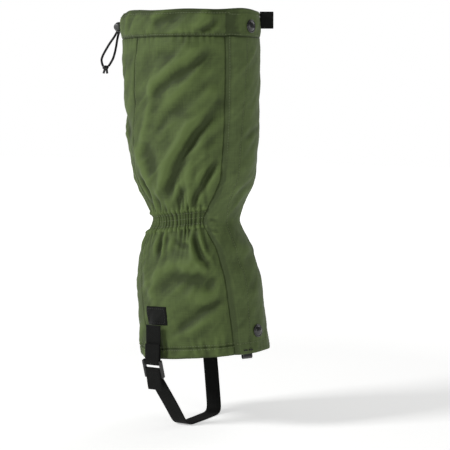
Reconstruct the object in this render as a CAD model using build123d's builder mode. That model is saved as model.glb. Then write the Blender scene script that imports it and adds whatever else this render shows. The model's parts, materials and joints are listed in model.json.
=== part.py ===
from build123d import *
import math
import os

# A knee-high gaiter for the right leg. Millimetres, +X to the toe, +Y to the
# wearer's other leg, +Z up. The origin is the middle of the instep strap's top
# face, where the sole of the boot bears.

# ---------------------------------------------------------------- leg tube
TOP_Z = 488.0
TOP_LENGTH = 170.0
TOP_WIDTH = 130.0
TOP_CENTRE = -13.5
ANKLE_Z = 243.0
ANKLE_LENGTH = 104.0
ANKLE_WIDTH = 90.0
ANKLE_CENTRE = -5.0
FOOT_Z = 70.0
FOOT_LENGTH = 162.0
FOOT_WIDTH = 122.0
FOOT_CENTRE = 9.0
# Share of the way down to the ankle, and share of the calf's size left there.
UPPER_FORM = ((0.0, 1.0), (0.22, 1.0), (0.42, 0.95), (0.57, 0.89), (0.8, 0.69), (0.92, 0.24))
# Share of the way down from the ankle, and share of the foot's size reached.
LOWER_FORM = ((0.0, 0.0), (0.17, 0.55), (0.39, 0.85), (0.62, 0.93), (0.85, 0.96), (1.0, 1.0))
UPPER_LEAN = 1.5
LOWER_LEAN = 1.6

# ---------------------------------------------------------------- cloth
CLOTH = 1.0
HEM_CLOTH = 0.7
SEWN_GAP = 0.05
BACK_SEAM_X = -50.0
FLAP_SEAM_Y = -36.0
FRONT_SLIT = 3.0
FACING_Y = 20.0
REACH = 400.0

# ---------------------------------------------------------------- top hem
BAND_HEIGHT = 29.0
CHANNEL_GAP = 3.8
CHANNEL_MARGIN = 2.0
DRAWCORD_D = 2.8
DRAWCORD_Z = 473.0
DRAWCORD_STEP = 11.0
ARC_SHARE = 0.45
# First and last angle of each half of the drawcord, in degrees from the toe.
LATERAL_CORD = (-40.0, -169.0)
MEDIAL_CORD = (20.0, 180.0)

# ---------------------------------------------------------------- bottom hem
HEM_Z = 82.0
HEM_TILT = 6.0
HEM_HEIGHT = 12.0
HEM_MARGIN = 1.4
HEM_ELASTIC = 1.2
HEM_ELASTIC_GAP = 0.1

# ---------------------------------------------------------------- ankle elastic
ELASTIC_Z = 245.5
ELASTIC_TILT = 7.5
ELASTIC_HEIGHT = 18.0
ELASTIC = 1.0

# ---------------------------------------------------------------- front flap
FLAP_STAND_OFF = 2.6
FLAP_CLOTH = 1.2
FLAP_BAND_CLOTH = 1.6
FLAP_EDGE_Y = 27.0
HINGE_GAP = 2.0
WAIST_ROOT_Y = -19.0
WAIST_HALF = 24.0
WAIST_RAMP = 30.0
TAPE_EDGE_Y = -12.0
TAPE_WIDTH = 37.0
TAPE = 1.0
TAPE_TOP_MARGIN = 7.0
TAPE_FOOT_Z = 130.0

# ---------------------------------------------------------------- snaps
CAP_D = 15.0
CAP_RIM = 1.2
CAP_RISE = 1.6
CAP_SHOULDER = 0.4
CAP_SHOULDER_RISE = 0.7
CAP_CROWN = 0.28
CAP_POST_D = 3.6
POST_HOLE_GAP = 0.2
STUD_FLANGE_D = 10.0
STUD_FLANGE = 0.8
STUD_D = 4.4
STUD_HEIGHT = 1.6
SNAP_SEAT = 0.35
CAP_SEAT = 0.1
SOCKET_D = 11.5
SOCKET_BORE_D = 7.2
SOCKET_DEPTH = 0.8
SOCKET_FLOOR = 0.45
SNAP_TOP = (-8.0, 471.0)
SNAP_FOOT = (-9.0, 116.0)

# ---------------------------------------------------------------- lace hook
HOOK_Y = -25.0
HOOK_WIDTH = 12.0
HOOK_STEEL = 0.8
HOOK_SETBACK = 0.45
HOOK_PLATE = 7.0
HOOK_DROP = 3.0
HOOK_BEND = 1.9
HOOK_LIP = 2.2
PRONG_WIDTH = 4.6
PRONG_PITCH = 6.8
PRONG_HEIGHT = 1.4
PRONG_UP = 4.5
PRONG_PROUD = 0.5
PRONG_GAP = 0.1

# ---------------------------------------------------------------- pull tab
TAB_WIDTH = 20.0
TAB_LENGTH = 16.0
TAB_WEB = 1.2
TAB_FOLD_GAP = 0.8
TAB_ROOT_GAP = 2.2
TAB_ANGLE = 30.0
TAB_RISE = 2.0
TAB_SEWN = 3.0

# ---------------------------------------------------------------- stirrup
STIRRUP_X = -24.0
PATCH_LENGTH = 32.0
PATCH_HEIGHT = 24.0
PATCH_LOW_Z = 119.0
PATCH = 1.2
WEB_WIDTH = 20.0
WEB = 1.4
KEEPER_Y = 63.6
KEEPER_TOP_Z = 117.0
BAR_Z = 77.0
BAR_D = 3.2
BAR_GAP = 0.25
STRAP_LEAN = 18.0
KEEPER_TURN_BACK = 22.0
LOCK_RAIL = 2.7
LOCK_RAIL_GAP = 0.3
LOCK_WIDTH = WEB_WIDTH + 2 * (LOCK_RAIL + LOCK_RAIL_GAP)
LOCK_RAIL_ROUND = 1.08
LOCK_THICK = 4.0
MIDDLE_BAR = 10.0
LOWER_BAR = 17.5
LOAD_LEG = 24.0
TAIL_LEG = 34.0
BUCKLE_GAP = 0.8
SOLE_RADIUS = 6.0
SWAY_Z = 4.0
KNEE_RADIUS = 20.0

# ---------------------------------------------------------------- drawcord tail
# The X of everything on the tail is measured from the back of the top rim.
TOP_BACK_X = TOP_CENTRE - TOP_LENGTH / 2
EXIT_Y = -6.0
EXIT_Z = 479.0
STRAND_PITCH = 3.4
EYELET_D = 11.0
EYELET_BORE_D = 7.2
EYELET_STEEL = 0.8
TOGGLE_X = -8.1
TOGGLE_Z = 474.6
TOGGLE_D = 12.4
TOGGLE_WALL = 1.4
TOGGLE_RIM = 3.0
TOGGLE_TILT = 45.7
PLUNGER_GAP = 0.3
PLUNGER_OUT = 4.0
PLUNGER_WALL = 1.0
PLUNGER_TRAVEL = 2.0
SPRING_SPACE = 3.2
SPRING_D = 5.0
SPRING_WIRE = 0.7
SPRING_GAP = 0.05
SLOT_GAP = 0.7
KNOT_D = 7.0
KNOT_END = 4.0
KNOT_SPLAY = (0.2, 0.25)
# Route of each strand, from the eyelet to the knot, as X from the back of the rim and Z.
OUTER_STRAND = (
    (-1.2, 479.0),
    (-4.1, 478.6),
    (-12.1, 470.4),
    (-17.5, 462.5),
    (-24.0, 455.5),
    (-29.5, 448.0),
    (-34.5, 441.0),
    (-37.5, 434.0),
    (-34.3, 427.6),
)
INNER_STRAND = (
    (-1.2, 479.0),
    (-4.1, 478.6),
    (-11.7, 470.8),
    (-14.9, 461.5),
    (-16.7, 452.0),
    (-19.1, 443.0),
    (-22.5, 434.5),
    (-28.1, 428.0),
)
KNOT_AT = (-31.5, 426.0)

os.makedirs("parts", exist_ok=True)


def write(builder, name):
    """Label a finished piece and write it as its own file."""
    builder.part.label = name
    export_step(builder.part, f"parts/{name}.step")


# ---------------------------------------------------------------- tube helpers
def stations():
    """Heights of the tube with their centre, half length and half width."""
    found = []
    for down, share in UPPER_FORM:
        z = TOP_Z + (ANKLE_Z - TOP_Z) * down
        centre = TOP_CENTRE + (ANKLE_CENTRE - TOP_CENTRE) * down**UPPER_LEAN
        length = ANKLE_LENGTH + (TOP_LENGTH - ANKLE_LENGTH) * share
        width = ANKLE_WIDTH + (TOP_WIDTH - ANKLE_WIDTH) * share
        found.append((z, centre, length / 2, width / 2))
    for down, share in LOWER_FORM:
        z = ANKLE_Z + (FOOT_Z - ANKLE_Z) * down
        centre = ANKLE_CENTRE + (FOOT_CENTRE - ANKLE_CENTRE) * down**LOWER_LEAN
        length = ANKLE_LENGTH + (FOOT_LENGTH - ANKLE_LENGTH) * share
        width = ANKLE_WIDTH + (FOOT_WIDTH - ANKLE_WIDTH) * share
        found.append((z, centre, length / 2, width / 2))
    return found[::-1]


STATIONS = stations()


def section(z):
    """Centre, half length and half width of the tube at any height."""
    for low, high in zip(STATIONS, STATIONS[1:]):
        if z <= high[0] or high is STATIONS[-1]:
            share = (z - low[0]) / (high[0] - low[0])
            return [a + (b - a) * share for a, b in zip(low[1:], high[1:])]


def front_x(y, z, grow=0.0):
    """X of the tube's front at one height and side distance."""
    centre, half_length, half_width = section(z)
    return centre + (half_length + grow) * math.sqrt(1 - (y / (half_width + grow)) ** 2)


def leg_loft(grow, low, high, mode=Mode.ADD):
    """Solid leg form between two heights, grown by an offset."""
    heights = [low] + [s[0] for s in STATIONS if low < s[0] < high] + [high]
    rings = []
    for z in heights:
        centre, half_length, half_width = section(z)
        with BuildSketch(Plane((centre, 0, z))) as ring:
            Ellipse(half_length + grow, half_width + grow)
        rings.append(ring.sketch.face())
    loft(rings, ruled=True, mode=mode)


def cut_box(x_range, y_range, mode=Mode.SUBTRACT):
    """Remove everything between two X and two Y values."""
    (x0, x1), (y0, y1) = x_range, y_range
    with Locations(((x0 + x1) / 2, (y0 + y1) / 2, 0)):
        Box(x1 - x0, y1 - y0, 4 * REACH, mode=mode)


def keep_above(plane):
    """Cut away what is below a plane."""
    split(bisect_by=plane, keep=Keep.TOP)


def keep_below(plane):
    """Cut away what is above a plane."""
    split(bisect_by=plane, keep=Keep.BOTTOM)


def tilted(z, degrees):
    """Plane at a height on the axis, rising towards the toe."""
    angle = math.radians(degrees)
    level = (math.cos(angle), 0, math.sin(angle))
    return Plane((0, 0, z), x_dir=level, z_dir=(-math.sin(angle), 0, math.cos(angle)))


HEM_PLANE = tilted(HEM_Z, HEM_TILT)
HEM_SEAM = tilted(HEM_Z + HEM_HEIGHT, HEM_TILT)
BAND_Z = TOP_Z - BAND_HEIGHT
BAND_INSIDE = -(2 * HEM_CLOTH + CHANNEL_GAP)
CHANNEL_OUT = -HEM_CLOTH
CHANNEL_IN = BAND_INSIDE + HEM_CLOTH
SLIT_Y = FLAP_SEAM_Y + FRONT_SLIT
FLAP_OUT = FLAP_STAND_OFF + FLAP_CLOTH


def open_slit():
    """Leave the slit between the lateral panel and the facing under the flap."""
    cut_box((0, REACH), (FLAP_SEAM_Y, SLIT_Y))


# ---------------------------------------------------------------- leg panels
with BuildPart() as lateral_panel:
    leg_loft(0, FOOT_Z, BAND_Z)
    leg_loft(-CLOTH, FOOT_Z, BAND_Z, Mode.SUBTRACT)
    keep_above(HEM_SEAM)
    cut_box((-REACH, BACK_SEAM_X), (-REACH, REACH))
    cut_box((-REACH, REACH), (0, REACH))
    cut_box((0, REACH), (FLAP_SEAM_Y, 0))
write(lateral_panel, "lateral_panel")

with BuildPart() as back_panel:
    leg_loft(0, FOOT_Z, BAND_Z)
    leg_loft(-CLOTH, FOOT_Z, BAND_Z, Mode.SUBTRACT)
    keep_above(HEM_SEAM)
    cut_box((BACK_SEAM_X, REACH), (-REACH, REACH))
write(back_panel, "back_panel")

with BuildPart() as medial_panel:
    leg_loft(0, FOOT_Z, BAND_Z)
    leg_loft(-CLOTH, FOOT_Z, BAND_Z, Mode.SUBTRACT)
    keep_above(HEM_SEAM)
    cut_box((-REACH, BACK_SEAM_X), (-REACH, REACH))
    cut_box((-REACH, REACH), (-REACH, 0))
    cut_box((0, REACH), (0, FACING_Y))
write(medial_panel, "medial_panel")


def cloth_plane(y, z, grow):
    """Plane on the front of a grown tube: X level, Y up the cloth, Z out of it."""
    centre, half_length, half_width = section(z)
    low = Vector(front_x(y, z, grow), y, z)
    high = Vector(front_x(y, z + HOOK_PLATE, grow), y, z + HOOK_PLATE)
    out_x = (low.X - centre) / (half_length + grow) ** 2
    out_y = y / (half_width + grow) ** 2
    level = Vector(-out_y, out_x, 0).normalized()
    return Plane(low, x_dir=level, z_dir=level.cross(high - low))


def snap_plane(place):
    """Plane of a snap, on the tube's own surface."""
    y, z = place
    return cloth_plane(y, z, FLAP_OUT).offset(-FLAP_OUT)


def drill(place, diameter):
    """Hole for a snap's post, straight through the cloth."""
    with BuildSketch(snap_plane(place)) as hole:
        Circle(diameter / 2)
    extrude(hole.sketch, amount=3 * CAP_D, both=True, mode=Mode.SUBTRACT)


POST_HOLE_D = CAP_POST_D + 2 * POST_HOLE_GAP

with BuildPart() as front_underlap:
    leg_loft(0, FOOT_Z, BAND_Z)
    leg_loft(-CLOTH, FOOT_Z, BAND_Z, Mode.SUBTRACT)
    keep_above(HEM_SEAM)
    cut_box((-REACH, 0), (-REACH, REACH))
    cut_box((-REACH, REACH), (-REACH, SLIT_Y))
    cut_box((-REACH, REACH), (FACING_Y, REACH))
    drill(SNAP_FOOT, POST_HOLE_D)
write(front_underlap, "front_underlap")

# ---------------------------------------------------------------- hems
with BuildPart() as channel:
    leg_loft(CHANNEL_OUT, BAND_Z + CHANNEL_MARGIN, TOP_Z - CHANNEL_MARGIN)
    leg_loft(CHANNEL_IN, BAND_Z + CHANNEL_MARGIN, TOP_Z - CHANNEL_MARGIN, Mode.SUBTRACT)

EXIT_X = section(EXIT_Z)[0] - section(EXIT_Z)[1] - SEWN_GAP
EXIT_PLANE = Plane((EXIT_X, EXIT_Y, EXIT_Z), x_dir=(0, 1, 0), z_dir=(-1, 0, 0))

with BuildPart() as top_hem:
    leg_loft(0, BAND_Z, TOP_Z)
    leg_loft(BAND_INSIDE, BAND_Z, TOP_Z, Mode.SUBTRACT)
    add(channel.part, mode=Mode.SUBTRACT)
    open_slit()
    drill(SNAP_TOP, POST_HOLE_D)
    with BuildSketch(EXIT_PLANE) as exit_hole:
        Circle(EYELET_BORE_D / 2 + EYELET_STEEL + SEWN_GAP)
    extrude(exit_hole.sketch, amount=-(HEM_CLOTH + CHANNEL_GAP / 2), mode=Mode.SUBTRACT)
    extrude(exit_hole.sketch, amount=HEM_CLOTH, mode=Mode.SUBTRACT)
write(top_hem, "top_hem")

HEM_INSIDE = -(2 * HEM_CLOTH + HEM_ELASTIC + 2 * HEM_ELASTIC_GAP)
HEM_POCKET_LOW = tilted(HEM_Z + HEM_MARGIN, HEM_TILT)
HEM_POCKET_HIGH = tilted(HEM_Z + HEM_HEIGHT - HEM_MARGIN, HEM_TILT)
HEM_LOFT_TOP = HEM_Z + 3 * HEM_HEIGHT

with BuildPart() as hem_pocket:
    leg_loft(-HEM_CLOTH, FOOT_Z, HEM_LOFT_TOP)
    leg_loft(HEM_INSIDE + HEM_CLOTH, FOOT_Z, HEM_LOFT_TOP, Mode.SUBTRACT)
    keep_above(HEM_POCKET_LOW)
    keep_below(HEM_POCKET_HIGH)

with BuildPart() as bottom_hem:
    leg_loft(0, FOOT_Z, HEM_LOFT_TOP)
    leg_loft(HEM_INSIDE, FOOT_Z, HEM_LOFT_TOP, Mode.SUBTRACT)
    keep_above(HEM_PLANE)
    keep_below(HEM_SEAM)
    add(hem_pocket.part, mode=Mode.SUBTRACT)
    open_slit()
write(bottom_hem, "bottom_hem")

with BuildPart() as hem_elastic:
    leg_loft(-HEM_CLOTH - HEM_ELASTIC_GAP, FOOT_Z, HEM_LOFT_TOP)
    leg_loft(HEM_INSIDE + HEM_CLOTH + HEM_ELASTIC_GAP, FOOT_Z, HEM_LOFT_TOP, Mode.SUBTRACT)
    keep_above(tilted(HEM_Z + HEM_MARGIN + HEM_ELASTIC_GAP, HEM_TILT))
    keep_below(tilted(HEM_Z + HEM_HEIGHT - HEM_MARGIN - HEM_ELASTIC_GAP, HEM_TILT))
    open_slit()
write(hem_elastic, "hem_elastic")

with BuildPart() as ankle_elastic:
    leg_loft(-CLOTH - SEWN_GAP, ANKLE_Z - 2 * ELASTIC_HEIGHT, ANKLE_Z + 2 * ELASTIC_HEIGHT)
    leg_loft(
        -CLOTH - SEWN_GAP - ELASTIC, ANKLE_Z - 2 * ELASTIC_HEIGHT, ANKLE_Z + 2 * ELASTIC_HEIGHT, Mode.SUBTRACT
    )
    keep_above(tilted(ELASTIC_Z - ELASTIC_HEIGHT / 2, ELASTIC_TILT))
    keep_below(tilted(ELASTIC_Z + ELASTIC_HEIGHT / 2, ELASTIC_TILT))
    cut_box((0, REACH), (FLAP_SEAM_Y, FACING_Y))
write(ankle_elastic, "ankle_elastic")


# ---------------------------------------------------------------- drawcord in the hem
def channel_point(degrees):
    """Middle of the hem's channel at an angle from the toe."""
    centre, half_length, half_width = section(DRAWCORD_Z)
    middle = (CHANNEL_OUT + CHANNEL_IN) / 2
    turn = math.radians(degrees)
    x = centre + (half_length + middle) * math.cos(turn)
    y = (half_width + middle) * math.sin(turn)
    return Vector(x, y, DRAWCORD_Z)


def arc_radii(points, name):
    """Arc radius at each corner: as large as the runs beside it allow."""
    radii = []
    for before, corner, after in zip(points, points[1:], points[2:]):
        turn = (corner - before).get_angle(after - corner)
        run = min((corner - before).length, (after - corner).length)
        radii.append(ARC_SHARE * run / math.tan(math.radians(turn) / 2))
    print(name, "radii", [round(r, 1) for r in radii])
    return radii


def cord_tube(points, name):
    """Round cord along straight runs joined by tangent arcs."""
    with BuildLine() as route:
        FilletPolyline(*points, radius=arc_radii(points, name))
    with BuildSketch(Plane(origin=points[0], z_dir=points[1] - points[0])) as round_section:
        Circle(DRAWCORD_D / 2)
    sweep(round_section.sketch, path=route.line, transition=Transition.RIGHT)
    return route.line


def channel_route(first, last):
    """Points round the hem between two angles from the toe."""
    count = round(abs(last - first) / DRAWCORD_STEP)
    return [channel_point(first + (last - first) * i / count) for i in range(count + 1)]


with BuildPart() as drawcord_lateral:
    cord_tube(channel_route(*LATERAL_CORD), "drawcord_lateral")
write(drawcord_lateral, "drawcord_lateral")

with BuildPart() as drawcord_medial:
    cord_tube(channel_route(*MEDIAL_CORD), "drawcord_medial")
write(drawcord_medial, "drawcord_medial")

with BuildPart() as cord_eyelet:
    with BuildSketch(EXIT_PLANE) as rim:
        Circle(EYELET_D / 2)
        Circle(EYELET_BORE_D / 2, mode=Mode.SUBTRACT)
    extrude(rim.sketch, amount=EYELET_STEEL)
    with BuildSketch(EXIT_PLANE) as barrel:
        Circle(EYELET_BORE_D / 2 + EYELET_STEEL)
        Circle(EYELET_BORE_D / 2, mode=Mode.SUBTRACT)
    extrude(barrel.sketch, amount=-(HEM_CLOTH + CHANNEL_GAP / 4))
write(cord_eyelet, "cord_eyelet")

# ---------------------------------------------------------------- front flap
AXIS_X = (front_x(FLAP_SEAM_Y, ANKLE_Z) + front_x(FLAP_SEAM_Y, HEM_Z)) / 2
FLAP_ROOT_Y = FLAP_SEAM_Y + HINGE_GAP
print("flap hinge axis", round(AXIS_X, 2), FLAP_SEAM_Y - HINGE_GAP)


def flap_side_cuts(edge_y=FLAP_EDGE_Y, root_y=FLAP_ROOT_Y):
    """Trim a wall of the tube to the flap's own width."""
    cut_box((-REACH, 0), (-REACH, REACH))
    cut_box((-REACH, REACH), (-REACH, root_y))
    cut_box((-REACH, REACH), (edge_y, REACH))


HOOK_Z = HEM_Z + FOOT_LENGTH / 2 * math.tan(math.radians(HEM_TILT))


def hook_plane():
    """Plane of the lace hook, on the flap's inner face at its hem."""
    return cloth_plane(HOOK_Y, HOOK_Z, FLAP_STAND_OFF)


def hook_prongs(grow, mode):
    """Two prongs that pass from the plate out through the cloth."""
    with BuildSketch(hook_plane().offset(-HOOK_SETBACK)) as prongs:
        with Locations((-PRONG_PITCH / 2, PRONG_UP), (PRONG_PITCH / 2, PRONG_UP)):
            Rectangle(PRONG_WIDTH + 2 * grow, PRONG_HEIGHT + 2 * grow)
    extrude(prongs.sketch, amount=HOOK_SETBACK + FLAP_CLOTH + PRONG_PROUD, mode=mode)


def cut_waist():
    """Draw the flap's root in at the ankle, where the cloth flexes instead of swinging."""
    with BuildSketch(Plane.YZ) as waist:
        with BuildLine():
            Polyline(
                (FLAP_ROOT_Y, ANKLE_Z - WAIST_HALF - WAIST_RAMP),
                (WAIST_ROOT_Y, ANKLE_Z - WAIST_HALF),
                (WAIST_ROOT_Y, ANKLE_Z + WAIST_HALF),
                (FLAP_ROOT_Y, ANKLE_Z + WAIST_HALF + WAIST_RAMP),
                (-REACH, ANKLE_Z),
                close=True,
            )
        make_face()
    extrude(waist.sketch, amount=REACH, mode=Mode.SUBTRACT)


with BuildPart() as front_flap:
    leg_loft(FLAP_OUT, FOOT_Z, BAND_Z)
    leg_loft(FLAP_STAND_OFF, FOOT_Z, BAND_Z, Mode.SUBTRACT)
    keep_above(HEM_PLANE)
    flap_side_cuts()
    cut_waist()
    drill(SNAP_FOOT, POST_HOLE_D)
    hook_prongs(PRONG_GAP, Mode.SUBTRACT)
write(front_flap, "front_flap")

with BuildPart() as flap_top_band:
    leg_loft(FLAP_STAND_OFF + FLAP_BAND_CLOTH, BAND_Z, TOP_Z)
    leg_loft(FLAP_STAND_OFF, BAND_Z, TOP_Z, Mode.SUBTRACT)
    flap_side_cuts()
    drill(SNAP_TOP, POST_HOLE_D)
write(flap_top_band, "flap_top_band")

TAPE_TOP_Z = BAND_Z - TAPE_TOP_MARGIN

with BuildPart() as loop_tape:
    leg_loft(SEWN_GAP + TAPE, TAPE_FOOT_Z, TAPE_TOP_Z)
    leg_loft(SEWN_GAP, TAPE_FOOT_Z, TAPE_TOP_Z, Mode.SUBTRACT)
    flap_side_cuts(TAPE_EDGE_Y + TAPE_WIDTH, TAPE_EDGE_Y)
write(loop_tape, "loop_tape")

with BuildPart() as hook_tape:
    leg_loft(FLAP_STAND_OFF - SEWN_GAP, TAPE_FOOT_Z, TAPE_TOP_Z)
    leg_loft(FLAP_STAND_OFF - SEWN_GAP - TAPE, TAPE_FOOT_Z, TAPE_TOP_Z, Mode.SUBTRACT)
    flap_side_cuts(TAPE_EDGE_Y + TAPE_WIDTH, TAPE_EDGE_Y)
    cut_waist()
write(hook_tape, "hook_tape")


# ---------------------------------------------------------------- snaps
def snap_profile(place, points):
    """Turn a half outline (radius, distance out of the cloth) round the snap's axis."""
    base = snap_plane(place)
    side = Plane(base.origin, x_dir=base.x_dir, z_dir=base.x_dir.cross(base.z_dir))
    with BuildSketch(side) as outline:
        with BuildLine():
            Polyline(*points, close=True)
        make_face()
    revolve(outline.sketch, axis=Axis(base.origin, base.z_dir))


def snap_cap(place, cloth):
    """Domed cap outside the flap with its post through the cloth."""
    seat = FLAP_STAND_OFF + cloth + CAP_SEAT
    snap_profile(place, (
        (0, FLAP_STAND_OFF - SNAP_SEAT),
        (CAP_POST_D / 2, FLAP_STAND_OFF - SNAP_SEAT),
        (CAP_POST_D / 2, seat),
        (CAP_D / 2, seat),
        (CAP_D / 2, seat + CAP_RIM),
        (CAP_D * CAP_SHOULDER, seat + CAP_RIM + CAP_RISE * CAP_SHOULDER_RISE),
        (CAP_D * CAP_CROWN, seat + CAP_RIM + CAP_RISE),
        (0, seat + CAP_RIM + CAP_RISE),
    ))


def snap_socket(place):
    """Ring under the flap that grips the stud."""
    top = FLAP_STAND_OFF - SNAP_SEAT
    snap_profile(place, (
        (0, top),
        (SOCKET_D / 2, top),
        (SOCKET_D / 2, top - SOCKET_FLOOR - SOCKET_DEPTH),
        (SOCKET_BORE_D / 2, top - SOCKET_FLOOR - SOCKET_DEPTH),
        (SOCKET_BORE_D / 2, top - SOCKET_FLOOR),
        (0, top - SOCKET_FLOOR),
    ))


def snap_stud(place, inside):
    """Stud on the cloth under the flap, riveted from behind."""
    back = inside - SNAP_SEAT
    snap_profile(place, (
        (0, back - STUD_FLANGE),
        (STUD_FLANGE_D / 2, back - STUD_FLANGE),
        (STUD_FLANGE_D / 2, back),
        (CAP_POST_D / 2, back),
        (CAP_POST_D / 2, CAP_SEAT),
        (STUD_FLANGE_D / 2, CAP_SEAT),
        (STUD_FLANGE_D / 2, CAP_SEAT + STUD_FLANGE / 2),
        (STUD_D / 2, CAP_SEAT + STUD_FLANGE / 2),
        (STUD_D / 2, STUD_HEIGHT),
        (0, STUD_HEIGHT),
    ))


with BuildPart() as cap_top:
    snap_cap(SNAP_TOP, FLAP_BAND_CLOTH)
write(cap_top, "cap_top")

with BuildPart() as cap_foot:
    snap_cap(SNAP_FOOT, FLAP_CLOTH)
write(cap_foot, "cap_foot")

with BuildPart() as socket_top:
    snap_socket(SNAP_TOP)
write(socket_top, "socket_top")

with BuildPart() as socket_foot:
    snap_socket(SNAP_FOOT)
write(socket_foot, "socket_foot")

with BuildPart() as stud_top:
    snap_stud(SNAP_TOP, BAND_INSIDE)
write(stud_top, "stud_top")

with BuildPart() as stud_foot:
    snap_stud(SNAP_FOOT, -CLOTH)
write(stud_foot, "stud_foot")

# ---------------------------------------------------------------- lace hook
with BuildPart() as lace_hook:
    face = hook_plane()
    side = Plane(face.origin, x_dir=face.z_dir, z_dir=face.x_dir * -1)
    near = -HOOK_SETBACK
    far = near - HOOK_STEEL
    bend_centre = far - HOOK_BEND
    with BuildSketch(side) as hook_side:
        with BuildLine():
            Polyline((near, -HOOK_DROP), (near, HOOK_PLATE), (far, HOOK_PLATE), (far, -HOOK_DROP), close=True)
        make_face()
        with BuildLine():
            CenterArc((bend_centre, -HOOK_DROP), HOOK_BEND + HOOK_STEEL, 180, 180)
            Line((near, -HOOK_DROP), (far, -HOOK_DROP))
            CenterArc((bend_centre, -HOOK_DROP), HOOK_BEND, 180, 180)
            Line((bend_centre - HOOK_BEND, -HOOK_DROP), (bend_centre - HOOK_BEND - HOOK_STEEL, -HOOK_DROP))
        make_face()
        with BuildLine():
            Polyline(
                (bend_centre - HOOK_BEND, -HOOK_DROP),
                (bend_centre - HOOK_BEND, -HOOK_DROP + HOOK_LIP),
                (bend_centre - HOOK_BEND - HOOK_STEEL, -HOOK_DROP + HOOK_LIP),
                (bend_centre - HOOK_BEND - HOOK_STEEL, -HOOK_DROP),
                close=True,
            )
        make_face()
    extrude(hook_side.sketch, amount=HOOK_WIDTH / 2, both=True)
    hook_prongs(0, Mode.ADD)
write(lace_hook, "lace_hook")

# ---------------------------------------------------------------- pull tab
TAB_ROOT_X = front_x(FLAP_EDGE_Y, TOP_Z, FLAP_STAND_OFF + FLAP_BAND_CLOTH / 2)
TAB_ROOT_Y = FLAP_EDGE_Y + TAB_ROOT_GAP
TAB_HALF = TAB_WEB + TAB_FOLD_GAP / 2
print("pull tab axis", round(TAB_ROOT_X, 2), TAB_ROOT_Y)

with BuildPart() as pull_tab:
    tab_turn = math.radians(TAB_ANGLE)
    tab_low = TOP_Z + TAB_RISE - TAB_WIDTH
    tab_plane = Plane((TAB_ROOT_X, TAB_ROOT_Y, tab_low), x_dir=(math.cos(tab_turn), math.sin(tab_turn), 0))
    with BuildSketch(tab_plane) as fold:
        with Locations((TAB_LENGTH / 2, 0)):
            SlotOverall(TAB_LENGTH + 2 * TAB_HALF, 2 * TAB_HALF)
        with Locations(((TAB_LENGTH + TAB_SEWN) / 2, 0)):
            SlotOverall(TAB_LENGTH - TAB_SEWN + TAB_FOLD_GAP, TAB_FOLD_GAP, mode=Mode.SUBTRACT)
    extrude(fold.sketch, amount=TAB_WIDTH)
write(pull_tab, "pull_tab")


# ---------------------------------------------------------------- stirrup
def side_patch(far_side):
    """Patch sewn to one side of the gaiter, over the end of the webbing."""
    leg_loft(SEWN_GAP + PATCH, PATCH_LOW_Z, PATCH_LOW_Z + PATCH_HEIGHT)
    leg_loft(SEWN_GAP, PATCH_LOW_Z, PATCH_LOW_Z + PATCH_HEIGHT, Mode.SUBTRACT)
    cut_box((-REACH, STIRRUP_X - PATCH_LENGTH / 2), (-REACH, REACH))
    cut_box((STIRRUP_X + PATCH_LENGTH / 2, REACH), (-REACH, REACH))
    cut_box((-REACH, REACH), (-REACH, 0) if far_side else (0, REACH))


with BuildPart() as lateral_patch:
    side_patch(False)
write(lateral_patch, "lateral_patch")

with BuildPart() as medial_patch:
    side_patch(True)
write(medial_patch, "medial_patch")

LOOP_IN = BAR_D / 2 + BAR_GAP
LOOP_OUT = LOOP_IN + WEB
BAR_Y = -(KEEPER_Y + LOOP_OUT)
print("buckle bar axis", round(BAR_Y, 2), BAR_Z)
LEAN = math.radians(STRAP_LEAN)

with BuildPart() as keeper_webbing:
    with BuildSketch(Plane.YZ.offset(STIRRUP_X)) as keeper:
        with BuildLine():
            Polyline(
                (BAR_Y + LOOP_IN, BAR_Z),
                (BAR_Y + LOOP_OUT, BAR_Z),
                (BAR_Y + LOOP_OUT, KEEPER_TOP_Z),
                (BAR_Y + LOOP_IN, KEEPER_TOP_Z),
                close=True,
            )
        make_face()
        with BuildLine():
            CenterArc((BAR_Y, BAR_Z), LOOP_OUT, 180, 180)
            Line((BAR_Y + LOOP_OUT, BAR_Z), (BAR_Y + LOOP_IN, BAR_Z))
            CenterArc((BAR_Y, BAR_Z), LOOP_IN, 180, 180)
            Line((BAR_Y - LOOP_IN, BAR_Z), (BAR_Y - LOOP_OUT, BAR_Z))
        make_face()
        with BuildLine():
            Polyline(
                (BAR_Y - LOOP_IN, BAR_Z),
                (BAR_Y + LOOP_IN, BAR_Z + KEEPER_TURN_BACK / 2),
                (BAR_Y + LOOP_IN, BAR_Z + KEEPER_TURN_BACK),
                (BAR_Y + LOOP_IN - WEB, BAR_Z + KEEPER_TURN_BACK),
                (BAR_Y + LOOP_IN - WEB, BAR_Z + KEEPER_TURN_BACK / 2),
                (BAR_Y - LOOP_OUT, BAR_Z),
                close=True,
            )
        make_face()
    extrude(keeper.sketch, amount=WEB_WIDTH / 2, both=True)
write(keeper_webbing, "keeper_webbing")


def strap_point(up, out):
    """Y and Z of a point in the buckle's own leaning frame."""
    y = BAR_Y - up * math.sin(LEAN) - out * math.cos(LEAN)
    return (y, BAR_Z + up * math.cos(LEAN) - out * math.sin(LEAN))


BUCKLE_PLANE = Plane(
    (STIRRUP_X, BAR_Y, BAR_Z), x_dir=(1, 0, 0), z_dir=(0, -math.cos(LEAN), -math.sin(LEAN))
)
BUCKLE_SIDE = Plane(
    (STIRRUP_X, BAR_Y, BAR_Z), x_dir=(0, -math.cos(LEAN), -math.sin(LEAN)), z_dir=(-1, 0, 0)
)

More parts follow.
